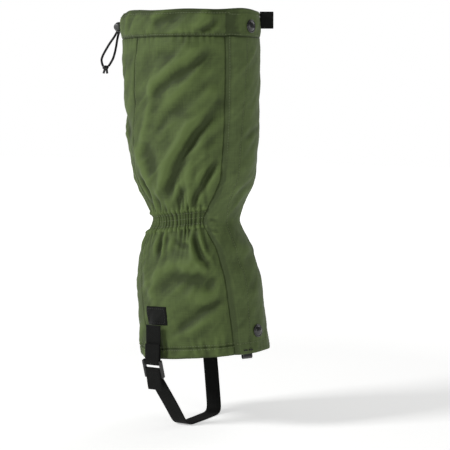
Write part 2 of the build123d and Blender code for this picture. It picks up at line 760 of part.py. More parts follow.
with BuildPart() as ladder_lock:
    rail_x = (LOCK_WIDTH - LOCK_RAIL) / 2
    rail_length = LOWER_BAR + BAR_D + LOCK_THICK / 2
    with BuildSketch(BUCKLE_PLANE) as rails:
        with Locations((-rail_x, BAR_D - rail_length / 2), (rail_x, BAR_D - rail_length / 2)):
            RectangleRounded(LOCK_RAIL, rail_length, LOCK_RAIL_ROUND)
    extrude(rails.sketch, amount=LOCK_THICK / 2, both=True)
    with BuildSketch(BUCKLE_SIDE) as bars:
        with Locations((0, 0), (0, -MIDDLE_BAR), (0, -LOWER_BAR)):
            Circle(BAR_D / 2)
    extrude(bars.sketch, amount=LOCK_WIDTH / 2 - LOCK_RAIL / 2, both=True)
write(ladder_lock, "ladder_lock")

with BuildPart() as strap_tail:
    with BuildSketch(BUCKLE_SIDE) as wrap:
        with BuildLine():
            Line((-LOOP_OUT, -MIDDLE_BAR), (-LOOP_OUT, -LOAD_LEG))
            Line((-LOOP_OUT, -LOAD_LEG), (-LOOP_IN, -LOAD_LEG))
            Line((-LOOP_IN, -LOAD_LEG), (-LOOP_IN, -MIDDLE_BAR))
            CenterArc((0, -MIDDLE_BAR), LOOP_IN, 180, -180)
            Line((LOOP_IN, -MIDDLE_BAR), (LOOP_IN, -TAIL_LEG))
            Line((LOOP_IN, -TAIL_LEG), (LOOP_OUT, -TAIL_LEG))
            Line((LOOP_OUT, -TAIL_LEG), (LOOP_OUT, -MIDDLE_BAR))
            CenterArc((0, -MIDDLE_BAR), LOOP_OUT, 0, 180)
        make_face()
    extrude(wrap.sketch, amount=WEB_WIDTH / 2, both=True)
write(strap_tail, "strap_tail")


def strip_outline(height):
    """Outline of a strap that lies level under the sole and leans back as it rises."""
    half = WEB_WIDTH / 2
    slant = math.atan(-STIRRUP_X / (height - SWAY_Z))
    wide = half / math.cos(slant)
    return (
        (-half, -SWAY_Z),
        (half, -SWAY_Z),
        (wide, SWAY_Z),
        (STIRRUP_X + wide, height),
        (STIRRUP_X + half, height),
        (STIRRUP_X + half, KEEPER_TOP_Z + SWAY_Z),
        (STIRRUP_X - half, KEEPER_TOP_Z + SWAY_Z),
        (STIRRUP_X - half, height),
        (STIRRUP_X - wide, height),
        (-wide, SWAY_Z),
    )


STRAP_TOP = strap_point(-LOAD_LEG - BUCKLE_GAP, -(LOOP_IN + LOOP_OUT) / 2)
SOLE_Y = -STRAP_TOP[0] - (STRAP_TOP[1] + WEB / 2) * math.tan(LEAN)
SIDE_JOIN = SOLE_Y - 2 * SOLE_RADIUS

with BuildPart() as strip:
    with BuildSketch(Plane.XZ.offset(SIDE_JOIN)) as lateral_strip:
        with BuildLine():
            Polyline(*strip_outline(STRAP_TOP[1]), close=True)
        make_face()
    extrude(lateral_strip.sketch, amount=REACH)
    with BuildSketch(Plane.XZ.offset(-SIDE_JOIN)) as medial_strip:
        with BuildLine():
            Polyline(*strip_outline(BAR_Z), close=True)
        make_face()
    extrude(medial_strip.sketch, amount=-REACH)
    with BuildSketch(Plane.XZ) as sole_strip:
        Rectangle(WEB_WIDTH, 2 * SWAY_Z)
    extrude(sole_strip.sketch, amount=SIDE_JOIN, both=True)

with BuildPart() as instep_strap:
    with BuildSketch(Plane.YZ) as sling:
        with BuildLine() as sling_line:
            FilletPolyline(
                STRAP_TOP,
                (-SOLE_Y, -WEB / 2),
                (SOLE_Y, -WEB / 2),
                (KEEPER_Y + WEB / 2, BAR_Z),
                (KEEPER_Y + WEB / 2, KEEPER_TOP_Z),
                radius=[SOLE_RADIUS, SOLE_RADIUS, KNEE_RADIUS],
            )
        trace(line_width=WEB)
    extrude(sling.sketch, amount=REACH, both=True)
    add(strip.part, mode=Mode.INTERSECT)
write(instep_strap, "instep_strap")


# ---------------------------------------------------------------- drawcord tail
def strand_points(route, side):
    """Points of one strand beside the other."""
    return [Vector(TOP_BACK_X + x, EXIT_Y + side * STRAND_PITCH / 2, z) for x, z in route]


KNOT_CENTRE = Vector(TOP_BACK_X + KNOT_AT[0], EXIT_Y, KNOT_AT[1])


def cut_knot():
    """Face the end of a strand on the knot."""
    with Locations(KNOT_CENTRE):
        Sphere(KNOT_D / 2 + SEWN_GAP, mode=Mode.SUBTRACT)


with BuildPart() as cord_tail_outer:
    cord_tube(strand_points(OUTER_STRAND, -1), "cord_tail_outer")
    cut_knot()
write(cord_tail_outer, "cord_tail_outer")

with BuildPart() as cord_tail_inner:
    cord_tube(strand_points(INNER_STRAND, 1), "cord_tail_inner")
    cut_knot()
write(cord_tail_inner, "cord_tail_inner")

with BuildPart() as cord_knot:
    with Locations(KNOT_CENTRE):
        Sphere(KNOT_D / 2)
    for side in (-1, 1):
        end_root = KNOT_CENTRE + Vector(0, side * DRAWCORD_D / 2, 0)
        end_plane = Plane(end_root, z_dir=(side * KNOT_SPLAY[0], side * KNOT_SPLAY[1], -1))
        with BuildSketch(end_plane) as cord_end:
            Circle(DRAWCORD_D / 2)
        extrude(cord_end.sketch, amount=KNOT_D / 2 + KNOT_END)
write(cord_knot, "cord_knot")

# ---------------------------------------------------------------- cord lock
SLOT_HALF = STRAND_PITCH / 2 + DRAWCORD_D / 2 + SLOT_GAP
SLOT_WIDTH = DRAWCORD_D + 2 * SLOT_GAP
PLUNGER_INNER = SLOT_HALF + PLUNGER_WALL
BARREL_BACK = PLUNGER_INNER + SPRING_SPACE + TOGGLE_WALL
BARREL_FRONT = -(SLOT_HALF + TOGGLE_RIM)
BORE_D = TOGGLE_D - 2 * TOGGLE_WALL
TOGGLE_AT = Vector(TOP_BACK_X + TOGGLE_X, EXIT_Y, TOGGLE_Z)
TILT = math.radians(TOGGLE_TILT)
SLOT_PLANE = Plane(TOGGLE_AT, x_dir=(0, 1, 0), z_dir=(-math.cos(TILT), 0, -math.sin(TILT)))


def toggle_disc(diameter, low, high, mode=Mode.ADD):
    """Cylinder along the cord lock's own axis between two distances."""
    base = Plane(TOGGLE_AT + Vector(0, low, 0), x_dir=(1, 0, 0), z_dir=(0, 1, 0))
    with BuildSketch(base) as disc:
        Circle(diameter / 2)
    extrude(disc.sketch, amount=high - low, mode=mode)


def cord_slot(low, high):
    """Slot for both strands, straight through the cord lock."""
    with BuildSketch(SLOT_PLANE) as slot:
        with Locations(((low + high) / 2, 0)):
            Rectangle(high - low, SLOT_WIDTH)
    extrude(slot.sketch, amount=TOGGLE_D, both=True, mode=Mode.SUBTRACT)


with BuildPart() as lock_barrel:
    toggle_disc(TOGGLE_D, BARREL_FRONT, BARREL_BACK)
    toggle_disc(BORE_D, BARREL_FRONT, BARREL_BACK - TOGGLE_WALL, Mode.SUBTRACT)
    cord_slot(-SLOT_HALF, SLOT_HALF)
write(lock_barrel, "lock_barrel")

with BuildPart() as lock_plunger:
    toggle_disc(BORE_D - 2 * PLUNGER_GAP, BARREL_FRONT - PLUNGER_OUT, PLUNGER_INNER)
    cord_slot(-SLOT_HALF - PLUNGER_TRAVEL, SLOT_HALF)
write(lock_plunger, "lock_plunger")

with BuildPart() as lock_spring:
    toggle_disc(SPRING_D, PLUNGER_INNER + SPRING_GAP, BARREL_BACK - TOGGLE_WALL - SPRING_GAP)
    toggle_disc(SPRING_D - 2 * SPRING_WIRE, PLUNGER_INNER, BARREL_BACK - TOGGLE_WALL, Mode.SUBTRACT)
write(lock_spring, "lock_spring")
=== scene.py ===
"""Knee-high gaiter for the right leg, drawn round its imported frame.

Lengths are millimetres until a mesh is made. +X points to the toe, +Y to the wearer's
other leg and +Z up. An angle round the leg is in degrees from the toe, and is negative on
the outer side.
"""
from __future__ import annotations

import json
import logging
import math
from collections.abc import Callable
from dataclasses import dataclass
from enum import Enum

import bmesh
import bpy
import numpy as np
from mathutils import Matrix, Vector

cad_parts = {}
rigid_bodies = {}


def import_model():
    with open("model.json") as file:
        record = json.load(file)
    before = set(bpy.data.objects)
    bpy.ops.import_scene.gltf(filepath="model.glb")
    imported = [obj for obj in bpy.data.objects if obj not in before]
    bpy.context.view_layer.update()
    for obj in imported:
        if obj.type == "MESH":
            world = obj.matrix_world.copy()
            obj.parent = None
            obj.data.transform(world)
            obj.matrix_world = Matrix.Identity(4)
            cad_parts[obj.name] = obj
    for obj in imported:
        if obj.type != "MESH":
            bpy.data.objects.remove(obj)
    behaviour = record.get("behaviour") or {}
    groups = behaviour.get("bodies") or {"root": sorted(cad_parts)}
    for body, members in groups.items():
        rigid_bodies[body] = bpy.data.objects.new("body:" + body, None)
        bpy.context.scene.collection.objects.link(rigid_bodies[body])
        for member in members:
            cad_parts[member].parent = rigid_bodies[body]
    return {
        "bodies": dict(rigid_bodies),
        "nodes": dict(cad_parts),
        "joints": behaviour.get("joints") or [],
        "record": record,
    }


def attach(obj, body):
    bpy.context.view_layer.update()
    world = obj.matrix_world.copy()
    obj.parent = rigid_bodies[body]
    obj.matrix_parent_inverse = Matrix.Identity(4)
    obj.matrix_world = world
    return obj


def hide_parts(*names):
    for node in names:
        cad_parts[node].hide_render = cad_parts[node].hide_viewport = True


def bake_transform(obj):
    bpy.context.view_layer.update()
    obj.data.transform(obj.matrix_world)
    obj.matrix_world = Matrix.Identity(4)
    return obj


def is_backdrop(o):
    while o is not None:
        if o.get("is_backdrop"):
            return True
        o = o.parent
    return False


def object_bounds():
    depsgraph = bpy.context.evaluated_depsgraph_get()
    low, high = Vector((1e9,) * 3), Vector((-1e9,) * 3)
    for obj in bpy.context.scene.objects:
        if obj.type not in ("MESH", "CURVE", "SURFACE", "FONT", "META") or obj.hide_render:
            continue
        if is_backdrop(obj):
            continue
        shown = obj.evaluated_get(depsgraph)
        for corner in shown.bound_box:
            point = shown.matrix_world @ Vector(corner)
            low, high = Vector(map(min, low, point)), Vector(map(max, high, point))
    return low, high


LOG = logging.getLogger("gaiter")
MM = 0.001
TOP_Z = 488.0
BAND_Z = 459.0
ANKLE_Z = 243.0
FOOT_Z = 70.0
HEM_Z = 82.0
HEM_TILT = math.tan(math.radians(6.0))
HEM_HEIGHT = 12.0
ELASTIC_Z = 245.5
ELASTIC_TILT = math.tan(math.radians(7.5))
ELASTIC_HEIGHT = 18.0
FLAP_SEAM_Y = -36.0
SLIT_Y = -33.0
FACING_Y = 20.0
TAPE_Y = -12.0
# Distance to the side and height of each snap.
SNAP_TOP = (-8.0, 471.0)
SNAP_FOOT = (-9.0, 116.0)
FLAP_OUT = 3.8
FLAP_FREE_Y = -17.0
# Millimetres of cloth to a degree round the calf, and the share left of that near the ankle.
ARC = 1.22
ARC_SHARE = 0.85
# Cut sizes of the cloth, in metres.
PANEL_LENGTH = 0.37

Line = Callable[[np.ndarray], np.ndarray]
Offset = np.ndarray | float


# ---------------------------------------------------------------- small tools
def smooth(value: np.ndarray | float) -> np.ndarray:
    """Eased step from 0 to 1 as the value goes from 0 to 1."""
    t = np.clip(value, 0.0, 1.0)
    return t * t * (3.0 - 2.0 * t)


def bell(value: np.ndarray | float) -> np.ndarray:
    """Bell curve of height 1."""
    return np.exp(-np.square(value))


def smooth_line(points: np.ndarray, count: int) -> np.ndarray:
    """Runs an even, rounded line through a few points.

    Args:
        points: Rows of coordinates.
        count: How many points the line gets.

    Returns:
        The line's points, one row each.
    """
    points = np.asarray(points, float)
    step = np.linalg.norm(np.diff(points, axis=0), axis=1)
    along = np.concatenate([[0.0], np.cumsum(step)])
    fine = np.linspace(0.0, along[-1], count)
    line = np.stack([np.interp(fine, along, column) for column in points.T], axis=1)
    kernel = np.hanning(max(3, count // len(points) | 1) + 2)
    half = len(kernel) // 2
    ends = np.concatenate([2 * line[0] - line[half:0:-1], line, 2 * line[-1] - line[-2:-half - 2:-1]])
    return np.stack([np.convolve(column, kernel / kernel.sum(), "valid") for column in ends.T], axis=1)


def linear(code: str) -> tuple[float, float, float, float]:
    """Turns an sRGB hex code into a linear colour.

    Args:
        code: Six hex digits.

    Returns:
        Red, green, blue and alpha.
    """
    parts = [int(code[i:i + 2], 16) / 255.0 for i in (0, 2, 4)]
    light = [p / 12.92 if p <= 0.04045 else ((p + 0.055) / 1.055) ** 2.4 for p in parts]
    return (*light, 1.0)


def new_object(name: str, data: bpy.types.ID, material: bpy.types.Material | None = None) -> bpy.types.Object:
    """Links a new object to the scene.

    Args:
        name: The piece's name.
        data: Its mesh, curve, light or camera.
        material: Its finish, if it has one.

    Returns:
        The object, at the origin.
    """
    made = bpy.data.objects.new(name, data)
    bpy.context.scene.collection.objects.link(made)
    if material:
        data.materials.append(material)
    return made


# ---------------------------------------------------------------- the leg
@dataclass
class LegForm:
    """The tube's oval at every height, as the frame has it, with its corners eased."""

    top: tuple[float, float, float] = (170.0, 130.0, -13.5)
    ankle: tuple[float, float, float] = (104.0, 90.0, -5.0)
    foot: tuple[float, float, float] = (162.0, 122.0, 9.0)
    upper: tuple = ((0, 1), (0.22, 1), (0.42, 0.95), (0.57, 0.89), (0.8, 0.69), (0.92, 0.24))
    lower: tuple = ((0, 0), (0.17, 0.55), (0.39, 0.85), (0.62, 0.93), (0.85, 0.96), (1, 1))
    upper_lean: float = 1.5
    lower_lean: float = 1.6
    easing: int = 23

    def __post_init__(self) -> None:
        """Tables the centre, half length and half width for each millimetre of height."""
        rows = []
        for down, share in self.upper:
            rows.append(self.station(TOP_Z, self.top, share, down, down**self.upper_lean))
        for down, share in self.lower:
            rows.append(self.station(FOOT_Z, self.foot, share, down, down**self.lower_lean))
        rows = np.array(sorted(rows))
        self.heights = np.arange(20.0, 540.0)
        window = np.hanning(self.easing + 2)
        window /= window.sum()
        pad = len(window) // 2
        self.table = []
        for column in rows.T[1:]:
            raw = np.pad(np.interp(self.heights, rows[:, 0], column), pad, "edge")
            self.table.append(np.convolve(raw, window, "valid"))

    def station(self, end_z: float, end: tuple[float, float, float], share: float, down: float,
                lean: float) -> tuple[float, ...]:
        """One oval between the ankle and an end of the tube.

        Args:
            end_z: Height of that end.
            end: Its length, width and centre.
            share: How far the oval has grown from the ankle's to the end's.
            down: Share of the way from the end to the ankle, or from the ankle to the foot.
            lean: How far the centre has moved.

        Returns:
            Height, centre, half length and half width.
        """
        grown = [(a + (b - a) * share) / 2 for a, b in zip(self.ankle[:2], end[:2])]
        if end_z > ANKLE_Z:
            centre = end[2] + (self.ankle[2] - end[2]) * lean
            return (end_z + (ANKLE_Z - end_z) * down, centre, *grown)
        centre = self.ankle[2] + (end[2] - self.ankle[2]) * lean
        return (ANKLE_Z + (end_z - ANKLE_Z) * down, centre, *grown)

    def section(self, z: np.ndarray) -> list[np.ndarray]:
        """Centre, half length and half width at any height."""
        return [np.interp(z, self.heights, column) for column in self.table]

    def point(self, angle: np.ndarray, z: np.ndarray, grow: np.ndarray | float) -> np.ndarray:
        """Finds points round the plain tube.

        Args:
            angle: Angles from the toe, in degrees.
            z: Heights.
            grow: Distance outside the tube.

        Returns:
            Points, along the last axis.
        """
        centre, length, width = self.section(z)
        turn = np.radians(angle)
        x = centre + (length + grow) * np.cos(turn)
        return np.stack([x, (width + grow) * np.sin(turn), z + 0 * turn], -1)

    def angle_of_y(self, y: np.ndarray | float, z: np.ndarray, grow: float = 0.0) -> np.ndarray:
        """Angle on the tube's front at a distance to the side."""
        return np.degrees(np.arcsin(np.clip(y / (self.section(z)[2] + grow), -1, 1)))


# ---------------------------------------------------------------- folds of the cloth
class FoldKind(Enum):
    """Ways in which the cloth is folded along a line."""

    VALLEY = "valley"
    RIDGE = "ridge"
    STEP = "step"


@dataclass(frozen=True)
class Fold:
    """A fold along a line of angles and heights. A step is high on the left of its line."""

    kind: FoldKind
    height: float
    width: float
    path: tuple[tuple[float, float], ...]
    taper: float = 0.3

    def profile(self, across: np.ndarray) -> np.ndarray:
        """Height of the fold across its line.

        Args:
            across: Distance from the line, positive on its left.

        Returns:
            The height at each distance.
        """
        share = across / self.width
        if self.kind is FoldKind.STEP:
            return self.height * share * np.exp((1 - np.square(share)) / 2)
        if self.kind is FoldKind.RIDGE:
            return self.height * bell(share)
        return self.height * (0.35 * bell((np.abs(share) - 1.9) / 0.9) - bell(share))

    def other_side(self, turn: float, lift: float, share: float) -> Fold:
        """The like fold on the inner side of the leg, shifted so that the sides differ.

        Args:
            turn: How far it is shifted round the leg, in degrees.
            lift: How far it is shifted up.
            share: Its height as a share of this one's.

        Returns:
            The mirrored fold.
        """
        path = tuple((-angle + turn, z + lift) for angle, z in self.path)
        height = -self.height if self.kind is FoldKind.STEP else self.height
        return Fold(self.kind, height * share, self.width, path, self.taper)


UPPER_FOLDS = (
    Fold(FoldKind.STEP, 3.6, 7.0, ((-112, 380), (-88, 406), (-64, 431), (-41, 456))),
    Fold(FoldKind.STEP, 2.6, 8.0, ((-90, 368), (-68, 398), (-46, 424))),
    Fold(FoldKind.STEP, 2.2, 7.0, ((-62, 362), (-48, 382), (-34, 398))),
    Fold(FoldKind.VALLEY, 5.6, 5.6, ((-99, 256), (-88, 291), (-71, 326), (-61, 350), (-34, 379))),
    Fold(FoldKind.STEP, 2.6, 12.0, ((-99, 258), (-88, 291), (-71, 326), (-61, 350), (-36, 376))),
    Fold(FoldKind.VALLEY, 4.6, 4.2, ((-68, 256), (-53, 294), (-38, 322))),
    Fold(FoldKind.RIDGE, 2.6, 8.0, ((-82, 262), (-70, 292), (-56, 324), (-44, 345))),
    Fold(FoldKind.VALLEY, 3.2, 4.0, ((-125, 252), (-122, 271), (-123, 300))),
    Fold(FoldKind.STEP, 3.4, 9.0, ((-108, 284), (-114, 310), (-122, 342))),
    Fold(FoldKind.VALLEY, 2.4, 3.6, ((-83, 260), (-75, 288))),
    Fold(FoldKind.RIDGE, 2.2, 5.0, ((-124, 314), (-103, 374), (-92, 436))),
    Fold(FoldKind.RIDGE, 2.0, 15.0, ((-104, 408), (-74, 396), (-44, 398))),
    Fold(FoldKind.VALLEY, 1.6, 8.0, ((-96, 446), (-80, 436), (-62, 446))),
    Fold(FoldKind.STEP, 1.5, 8.0, ((-110, 350), (-86, 372), (-66, 384))),
)
LOWER_FOLDS = (
    Fold(FoldKind.VALLEY, 3.2, 4.0, ((-107, 198), (-107, 218), (-109, 236))),
    Fold(FoldKind.VALLEY, 1.8, 3.0, ((-90, 223), (-78, 216), (-68, 217))),
    Fold(FoldKind.VALLEY, 4.2, 4.0, ((-51, 188), (-60, 206), (-68, 236))),
    Fold(FoldKind.STEP, 4.4, 9.0, ((-116, 158), (-91, 185), (-72, 186), (-36, 178))),
    Fold(FoldKind.VALLEY, 3.4, 5.6, ((-90, 104), (-84, 119), (-60, 143), (-35, 162))),
    Fold(FoldKind.RIDGE, 2.6, 9.0, ((-86, 193), (-72, 200), (-56, 199))),
    Fold(FoldKind.STEP, 1.8, 8.0, ((-100, 128), (-74, 150), (-46, 152))),
    Fold(FoldKind.RIDGE, 1.8, 7.0, ((-128, 196), (-122, 170), (-108, 140))),
)
BACK_FOLDS = (
    Fold(FoldKind.VALLEY, 3.4, 6.5, ((-158, 258), (-166, 300), (-178, 348))),
    Fold(FoldKind.STEP, 2.8, 10.0, ((-212, 372), (-186, 404), (-152, 424))),
    Fold(FoldKind.STEP, 2.8, 9.0, ((-140, 330), (-166, 366), (-196, 392))),
    Fold(FoldKind.VALLEY, 3.0, 5.0, ((-196, 256), (-190, 288), (-196, 324))),
    Fold(FoldKind.RIDGE, 2.4, 8.0, ((-150, 206), (-172, 186), (-204, 178))),
    Fold(FoldKind.VALLEY, 2.8, 5.0, ((-178, 190), (-176, 214), (-180, 236))),
    Fold(FoldKind.STEP, 2.8, 9.0, ((-214, 146), (-184, 160), (-150, 148))),
)
FLAP_FOLDS = (
    Fold(FoldKind.VALLEY, 1.3, 1.7, ((-45, 247), (-40, 246.5), (-33, 244))),
    Fold(FoldKind.VALLEY, 1.3, 1.7, ((-46, 235), (-41, 234), (-33, 233))),
    Fold(FoldKind.VALLEY, 1.5, 5.0, ((-20, 262), (-8, 280), (12, 292))),
    Fold(FoldKind.STEP, 1.2, 8.0, ((-34, 196), (-14, 206), (10, 204))),
    Fold(FoldKind.VALLEY, 1.2, 4.0, ((-14, 338), (2, 352), (16, 354))),
    Fold(FoldKind.RIDGE, 1.4, 9.0, ((-24, 300), (-6, 306), (14, 322))),
    Fold(FoldKind.RIDGE, 1.0, 7.0, ((-34, 152), (-16, 160), (8, 158))),
)
BAND_FOLDS = (
    Fold(FoldKind.STEP, 2.2, 5.0, ((-100, 476), (-86, 482), (-72, 489))),
    Fold(FoldKind.VALLEY, 1.8, 4.0, ((-58, 462), (-48, 470), (-40, 480))),
    Fold(FoldKind.VALLEY, 1.2, 5.0, ((-130, 462), (-124, 474), (-120, 486))),
    Fold(FoldKind.RIDGE, 1.1, 6.0, ((-78, 460), (-66, 470), (-50, 472))),
)
# The inner panel bags out beside the flap above and below the ankle.
BULGES = (
    Fold(FoldKind.RIDGE, 4.6, 10.0, ((30, 292), (40, 272), (62, 266)), 0.4),
    Fold(FoldKind.RIDGE, 4.8, 10.0, ((30, 192), (40, 212), (62, 216)), 0.4),
)


class Relief:
    """How far the cloth stands off the plain tube, as a table of angles and heights."""

    STEP_DEG = 0.5
    STEP_Z = 0.75

    def __init__(self, form: LegForm) -> None:
        """Adds up folds, gathers, hems and soft dents.

        Args:
            form: The leg that the cloth goes round.
        """
        self.form = form
        self.angles = np.arange(-180.0, 180.0, self.STEP_DEG)
        self.heights = np.arange(58.0, 506.0, self.STEP_Z)
        self.angle, self.z = np.meshgrid(self.angles, self.heights)
        self.side = smooth((-40 - self.angle) / 8) + smooth((self.angle - 22) / 8)
        self.sum = np.zeros_like(self.z)
        self.dents()
        for fold in UPPER_FOLDS + LOWER_FOLDS:
            self.stamp(fold)
            self.stamp(fold.other_side(6.0, 7.0, 0.9))
        for fold in BACK_FOLDS + FLAP_FOLDS + BAND_FOLDS:
            self.stamp(fold)
        calm = smooth((BAND_Z - 2 - self.z) / 16) + smooth((self.z - BAND_Z) / 8)
        self.sum *= 0.25 + 0.75 * calm
        self.gathers()
        self.hems()
        self.flatten(SNAP_TOP)
        self.flatten(SNAP_FOOT)
        # Table of painted shading: the cloth's colour is painted darker in its valleys and lighter on its
        # ridges from it.
        self.painted_shading = self.concave()
        kept, self.sum = self.sum, np.zeros_like(self.sum)
        for fold in BULGES:
            self.stamp(fold)
        self.bulge, self.sum = self.sum, kept

    def noise(self, seed: int, across: float, along: float, slant: float = 0.0) -> np.ndarray:
        """Soft seeded unevenness that closes on itself round the leg.

        Args:
            seed: Which unevenness.
            across: Its size round the leg, in millimetres.
            along: Its size up the leg.
            slant: Turn of its grain, in radians.

        Returns:
            A table with a mean of 0 and a spread of 1.
        """
        white = np.random.default_rng(seed).standard_normal(self.z.shape)
        f_z = np.fft.fftfreq(len(self.heights), self.STEP_Z)[:, None]
        f_a = np.fft.fftfreq(len(self.angles), self.STEP_DEG * ARC)[None, :]
        turned_a = f_a * math.cos(slant) + f_z * math.sin(slant)
        turned_z = f_z * math.cos(slant) - f_a * math.sin(slant)
        keep = np.exp(-2.0 * (np.square(turned_a * across) + np.square(turned_z * along)))
        soft = np.real(np.fft.ifft2(np.fft.fft2(white) * keep))
        return (soft - soft.mean()) / soft.std()

    def dents(self) -> None:
        """Broad sags and small crumples all over, weaker on the doubled flap."""
        strength = 0.35 + 0.65 * self.side
        broad = 0.7 * self.noise(3, 26.0, 90.0, -0.8)
        middle = 0.28 * self.noise(5, 9.0, 34.0, -0.6)
        crumple = 0.9 * (1.0 - np.abs(self.noise(8, 15.0, 60.0, -0.75)))
        fine = 0.22 * (1.0 - np.abs(self.noise(41, 6.0, 26.0, -0.8)))
        self.sum += strength * (broad + middle + crumple) + fine

    def stamp(self, fold: Fold) -> None:
        """Adds one fold to the table.

        Args:
            fold: The fold, whose angles may run past half a turn.
        """
        line = smooth_line(np.array(fold.path), 30)
        reach = 4.0 * fold.width
        for turn in (-360.0, 0.0, 360.0):
            u, v = (line[:, 0] + turn) * ARC, line[:, 1]
            around = self.angles * ARC
            columns = np.where((around > u.min() - reach) & (around < u.max() + reach))[0]
            rows = np.where((self.heights > v.min() - reach) & (self.heights < v.max() + reach))[0]
            if not len(columns) or not len(rows):
                continue
            window = np.ix_(rows, columns)
            self.sum[window] += self.fold_height(fold, u, v, self.angle[window] * ARC, self.z[window])

    @staticmethod
    def fold_height(fold: Fold, u: np.ndarray, v: np.ndarray, at_u: np.ndarray,
                    at_v: np.ndarray) -> np.ndarray:
        """Height of a fold at each place near its line.

        Args:
            fold: The fold.
            u: Places round the leg of its line, in millimetres.
            v: Heights of its line.
            at_u: Places round the leg to look at.
            at_v: Heights to look at.

        Returns:
            The fold's height at each place.
        """
        nearest = np.full(at_u.shape, np.inf)
        signed = np.zeros(at_u.shape)
        share = np.zeros(at_u.shape)
        for i in range(len(u) - 1):
            du, dv = u[i + 1] - u[i], v[i + 1] - v[i]
            along = np.clip(((at_u - u[i]) * du + (at_v - v[i]) * dv) / (du * du + dv * dv), 0, 1)
            off_u, off_v = at_u - u[i] - along * du, at_v - v[i] - along * dv
            distance = np.hypot(off_u, off_v)
            closer = distance < nearest
            nearest = np.where(closer, distance, nearest)
            signed = np.where(closer, np.sign(du * off_v - dv * off_u) * distance, signed)
            share = np.where(closer, (i + along) / (len(u) - 1), share)
        ends = smooth(share / fold.taper) * smooth((1 - share) / fold.taper)
        return ends * fold.profile(signed)

    def gathers(self) -> None:
        """Pleats that the ankle elastic draws in, fine on it and wider away from it."""
        turn = np.radians(self.angle)
        x = self.form.point(self.angle, self.z, 0.0)[..., 0]
        off = self.z - (ELASTIC_Z + ELASTIC_TILT * x)
        out = np.abs(off) - ELASTIC_HEIGHT / 2
        side = smooth((-45 - self.angle) / 7) + smooth((self.angle - 20) / 9)
        drift = self.noise(11, 26.0, 70.0)
        above = np.where(off > 0, 1.0, 0.0)
        uneven = self.noise(37, 5.0, 60.0)
        fine = ((0.5 + 0.5 * np.cos(78 * turn + 1.6 * drift)) ** 0.55 - 0.6) * (1.0 + 0.35 * uneven)
        middle = np.cos(39 * turn + 2.2 * drift + 2.0 * above)
        wide = np.cos(19 * turn + 2.6 * self.noise(13, 40.0, 90.0) + 1.3 * above)
        inside = smooth(-out / 1.5)
        pleat = 1.7 * fine * (inside + (1 - inside) * np.exp(-np.maximum(out, 0) / 5.0))
        pleat += 1.5 * middle * smooth((out + 3) / 7) * np.exp(-np.maximum(out, 0) / 15.0)
        pleat += 2.0 * wide * smooth((out + 1) / 18) * np.exp(-np.maximum(out, 0) / 34.0)
        ruffle = bell((out - 1.6) / 1.6) * (1.5 + 1.2 * fine)
        waist = -1.3 * smooth(-out / 2.5)
        calm = 1.0 - 0.9 * bell(off / 22.0) * side
        self.sum = self.sum * calm + side * (pleat + ruffle + waist)

    def hems(self) -> None:
        """Draws in the cloth at both hems' seams and ripples their edges."""
        x = self.form.point(self.angle, self.z, 0.0)[..., 0]
        foot = self.z - (HEM_Z + HEM_TILT * x)
        ripple = np.cos(np.radians(self.angle) * 46 + 2.5 * self.noise(17, 30.0, 60.0))
        self.sum += 0.45 * ripple * bell((foot - HEM_HEIGHT) / 9.0) * (0.3 + 0.7 * self.side)
        self.sum += 0.9 * self.noise(19, 16.0, 30.0) * bell((foot - 2) / 12.0) * (0.4 + 0.6 * self.side)
        top = self.z - BAND_Z
        pucker = np.cos(np.radians(self.angle) * 58 + 3.0 * self.noise(23, 24.0, 60.0))
        self.sum += 0.4 * pucker * bell(top / 7.0) * (0.3 + 0.7 * self.side)
        self.sum += 0.8 * self.noise(29, 20.0, 16.0, 0.6) * smooth(top / 10.0) * (0.4 + 0.6 * self.side)

    def flatten(self, place: tuple[float, float]) -> None:
        """Holds the cloth flat round a snap.

        Args:
            place: The snap's distance to the side and its height.
        """
        y, z = place
        angle = float(self.form.angle_of_y(y, z, FLAP_OUT))
        apart = np.hypot((self.angle - angle) * ARC, self.z - z)
        self.sum *= 1.0 - np.exp(-((apart / 11.0) ** 4))

    def concave(self) -> np.ndarray:
        """Compares the cloth with a smoothed copy of itself.

        Returns:
            How far the cloth dips, from -1 on a ridge to 1 in a valley, used as painted highlight on the
            ridges and painted shade in the valleys.
        """
        f_z = np.fft.fftfreq(len(self.heights), self.STEP_Z)[:, None]
        f_a = np.fft.fftfreq(len(self.angles), self.STEP_DEG * ARC)[None, :]
        spread = np.fft.fft2(self.sum)
        painted_shading = np.zeros_like(self.sum)
        for size, gain in ((9.0, 0.30), (3.0, 0.45)):
            keep = np.exp(-19.7 * np.square(size) * (np.square(f_a) + np.square(f_z)))
            painted_shading += gain * (np.real(np.fft.ifft2(spread * keep)) - self.sum)
        return np.clip(painted_shading, -1.0, 1.0)

    def at(self, table: np.ndarray, angle: np.ndarray, z: np.ndarray) -> np.ndarray:
        """Reads a table between its entries.

        Args:
            table: The table.
            angle: Angles from the toe, in degrees.
            z: Heights.

        Returns:
            The table's value at each place.
        """
        column = (np.asarray(angle, float) + 180.0) % 360.0 / self.STEP_DEG
        row = np.clip((np.asarray(z, float) - self.heights[0]) / self.STEP_Z, 0, len(self.heights) - 1.001)
        c0, r0 = np.floor(column).astype(int), np.floor(row).astype(int)
        fc, fr = column - c0, row - r0
        c0, c1 = c0 % len(self.angles), (c0 + 1) % len(self.angles)
        low = table[r0, c0] * (1 - fc) + table[r0, c1] * fc
        high = table[r0 + 1, c0] * (1 - fc) + table[r0 + 1, c1] * fc
        return low * (1 - fr) + high * fr

    def point(self, angle: np.ndarray, z: np.ndarray, grow: np.ndarray | float) -> np.ndarray:
        """Points on the folded cloth, so far outside it."""
        return self.form.point(angle, z, grow + self.at(self.sum, angle, z))

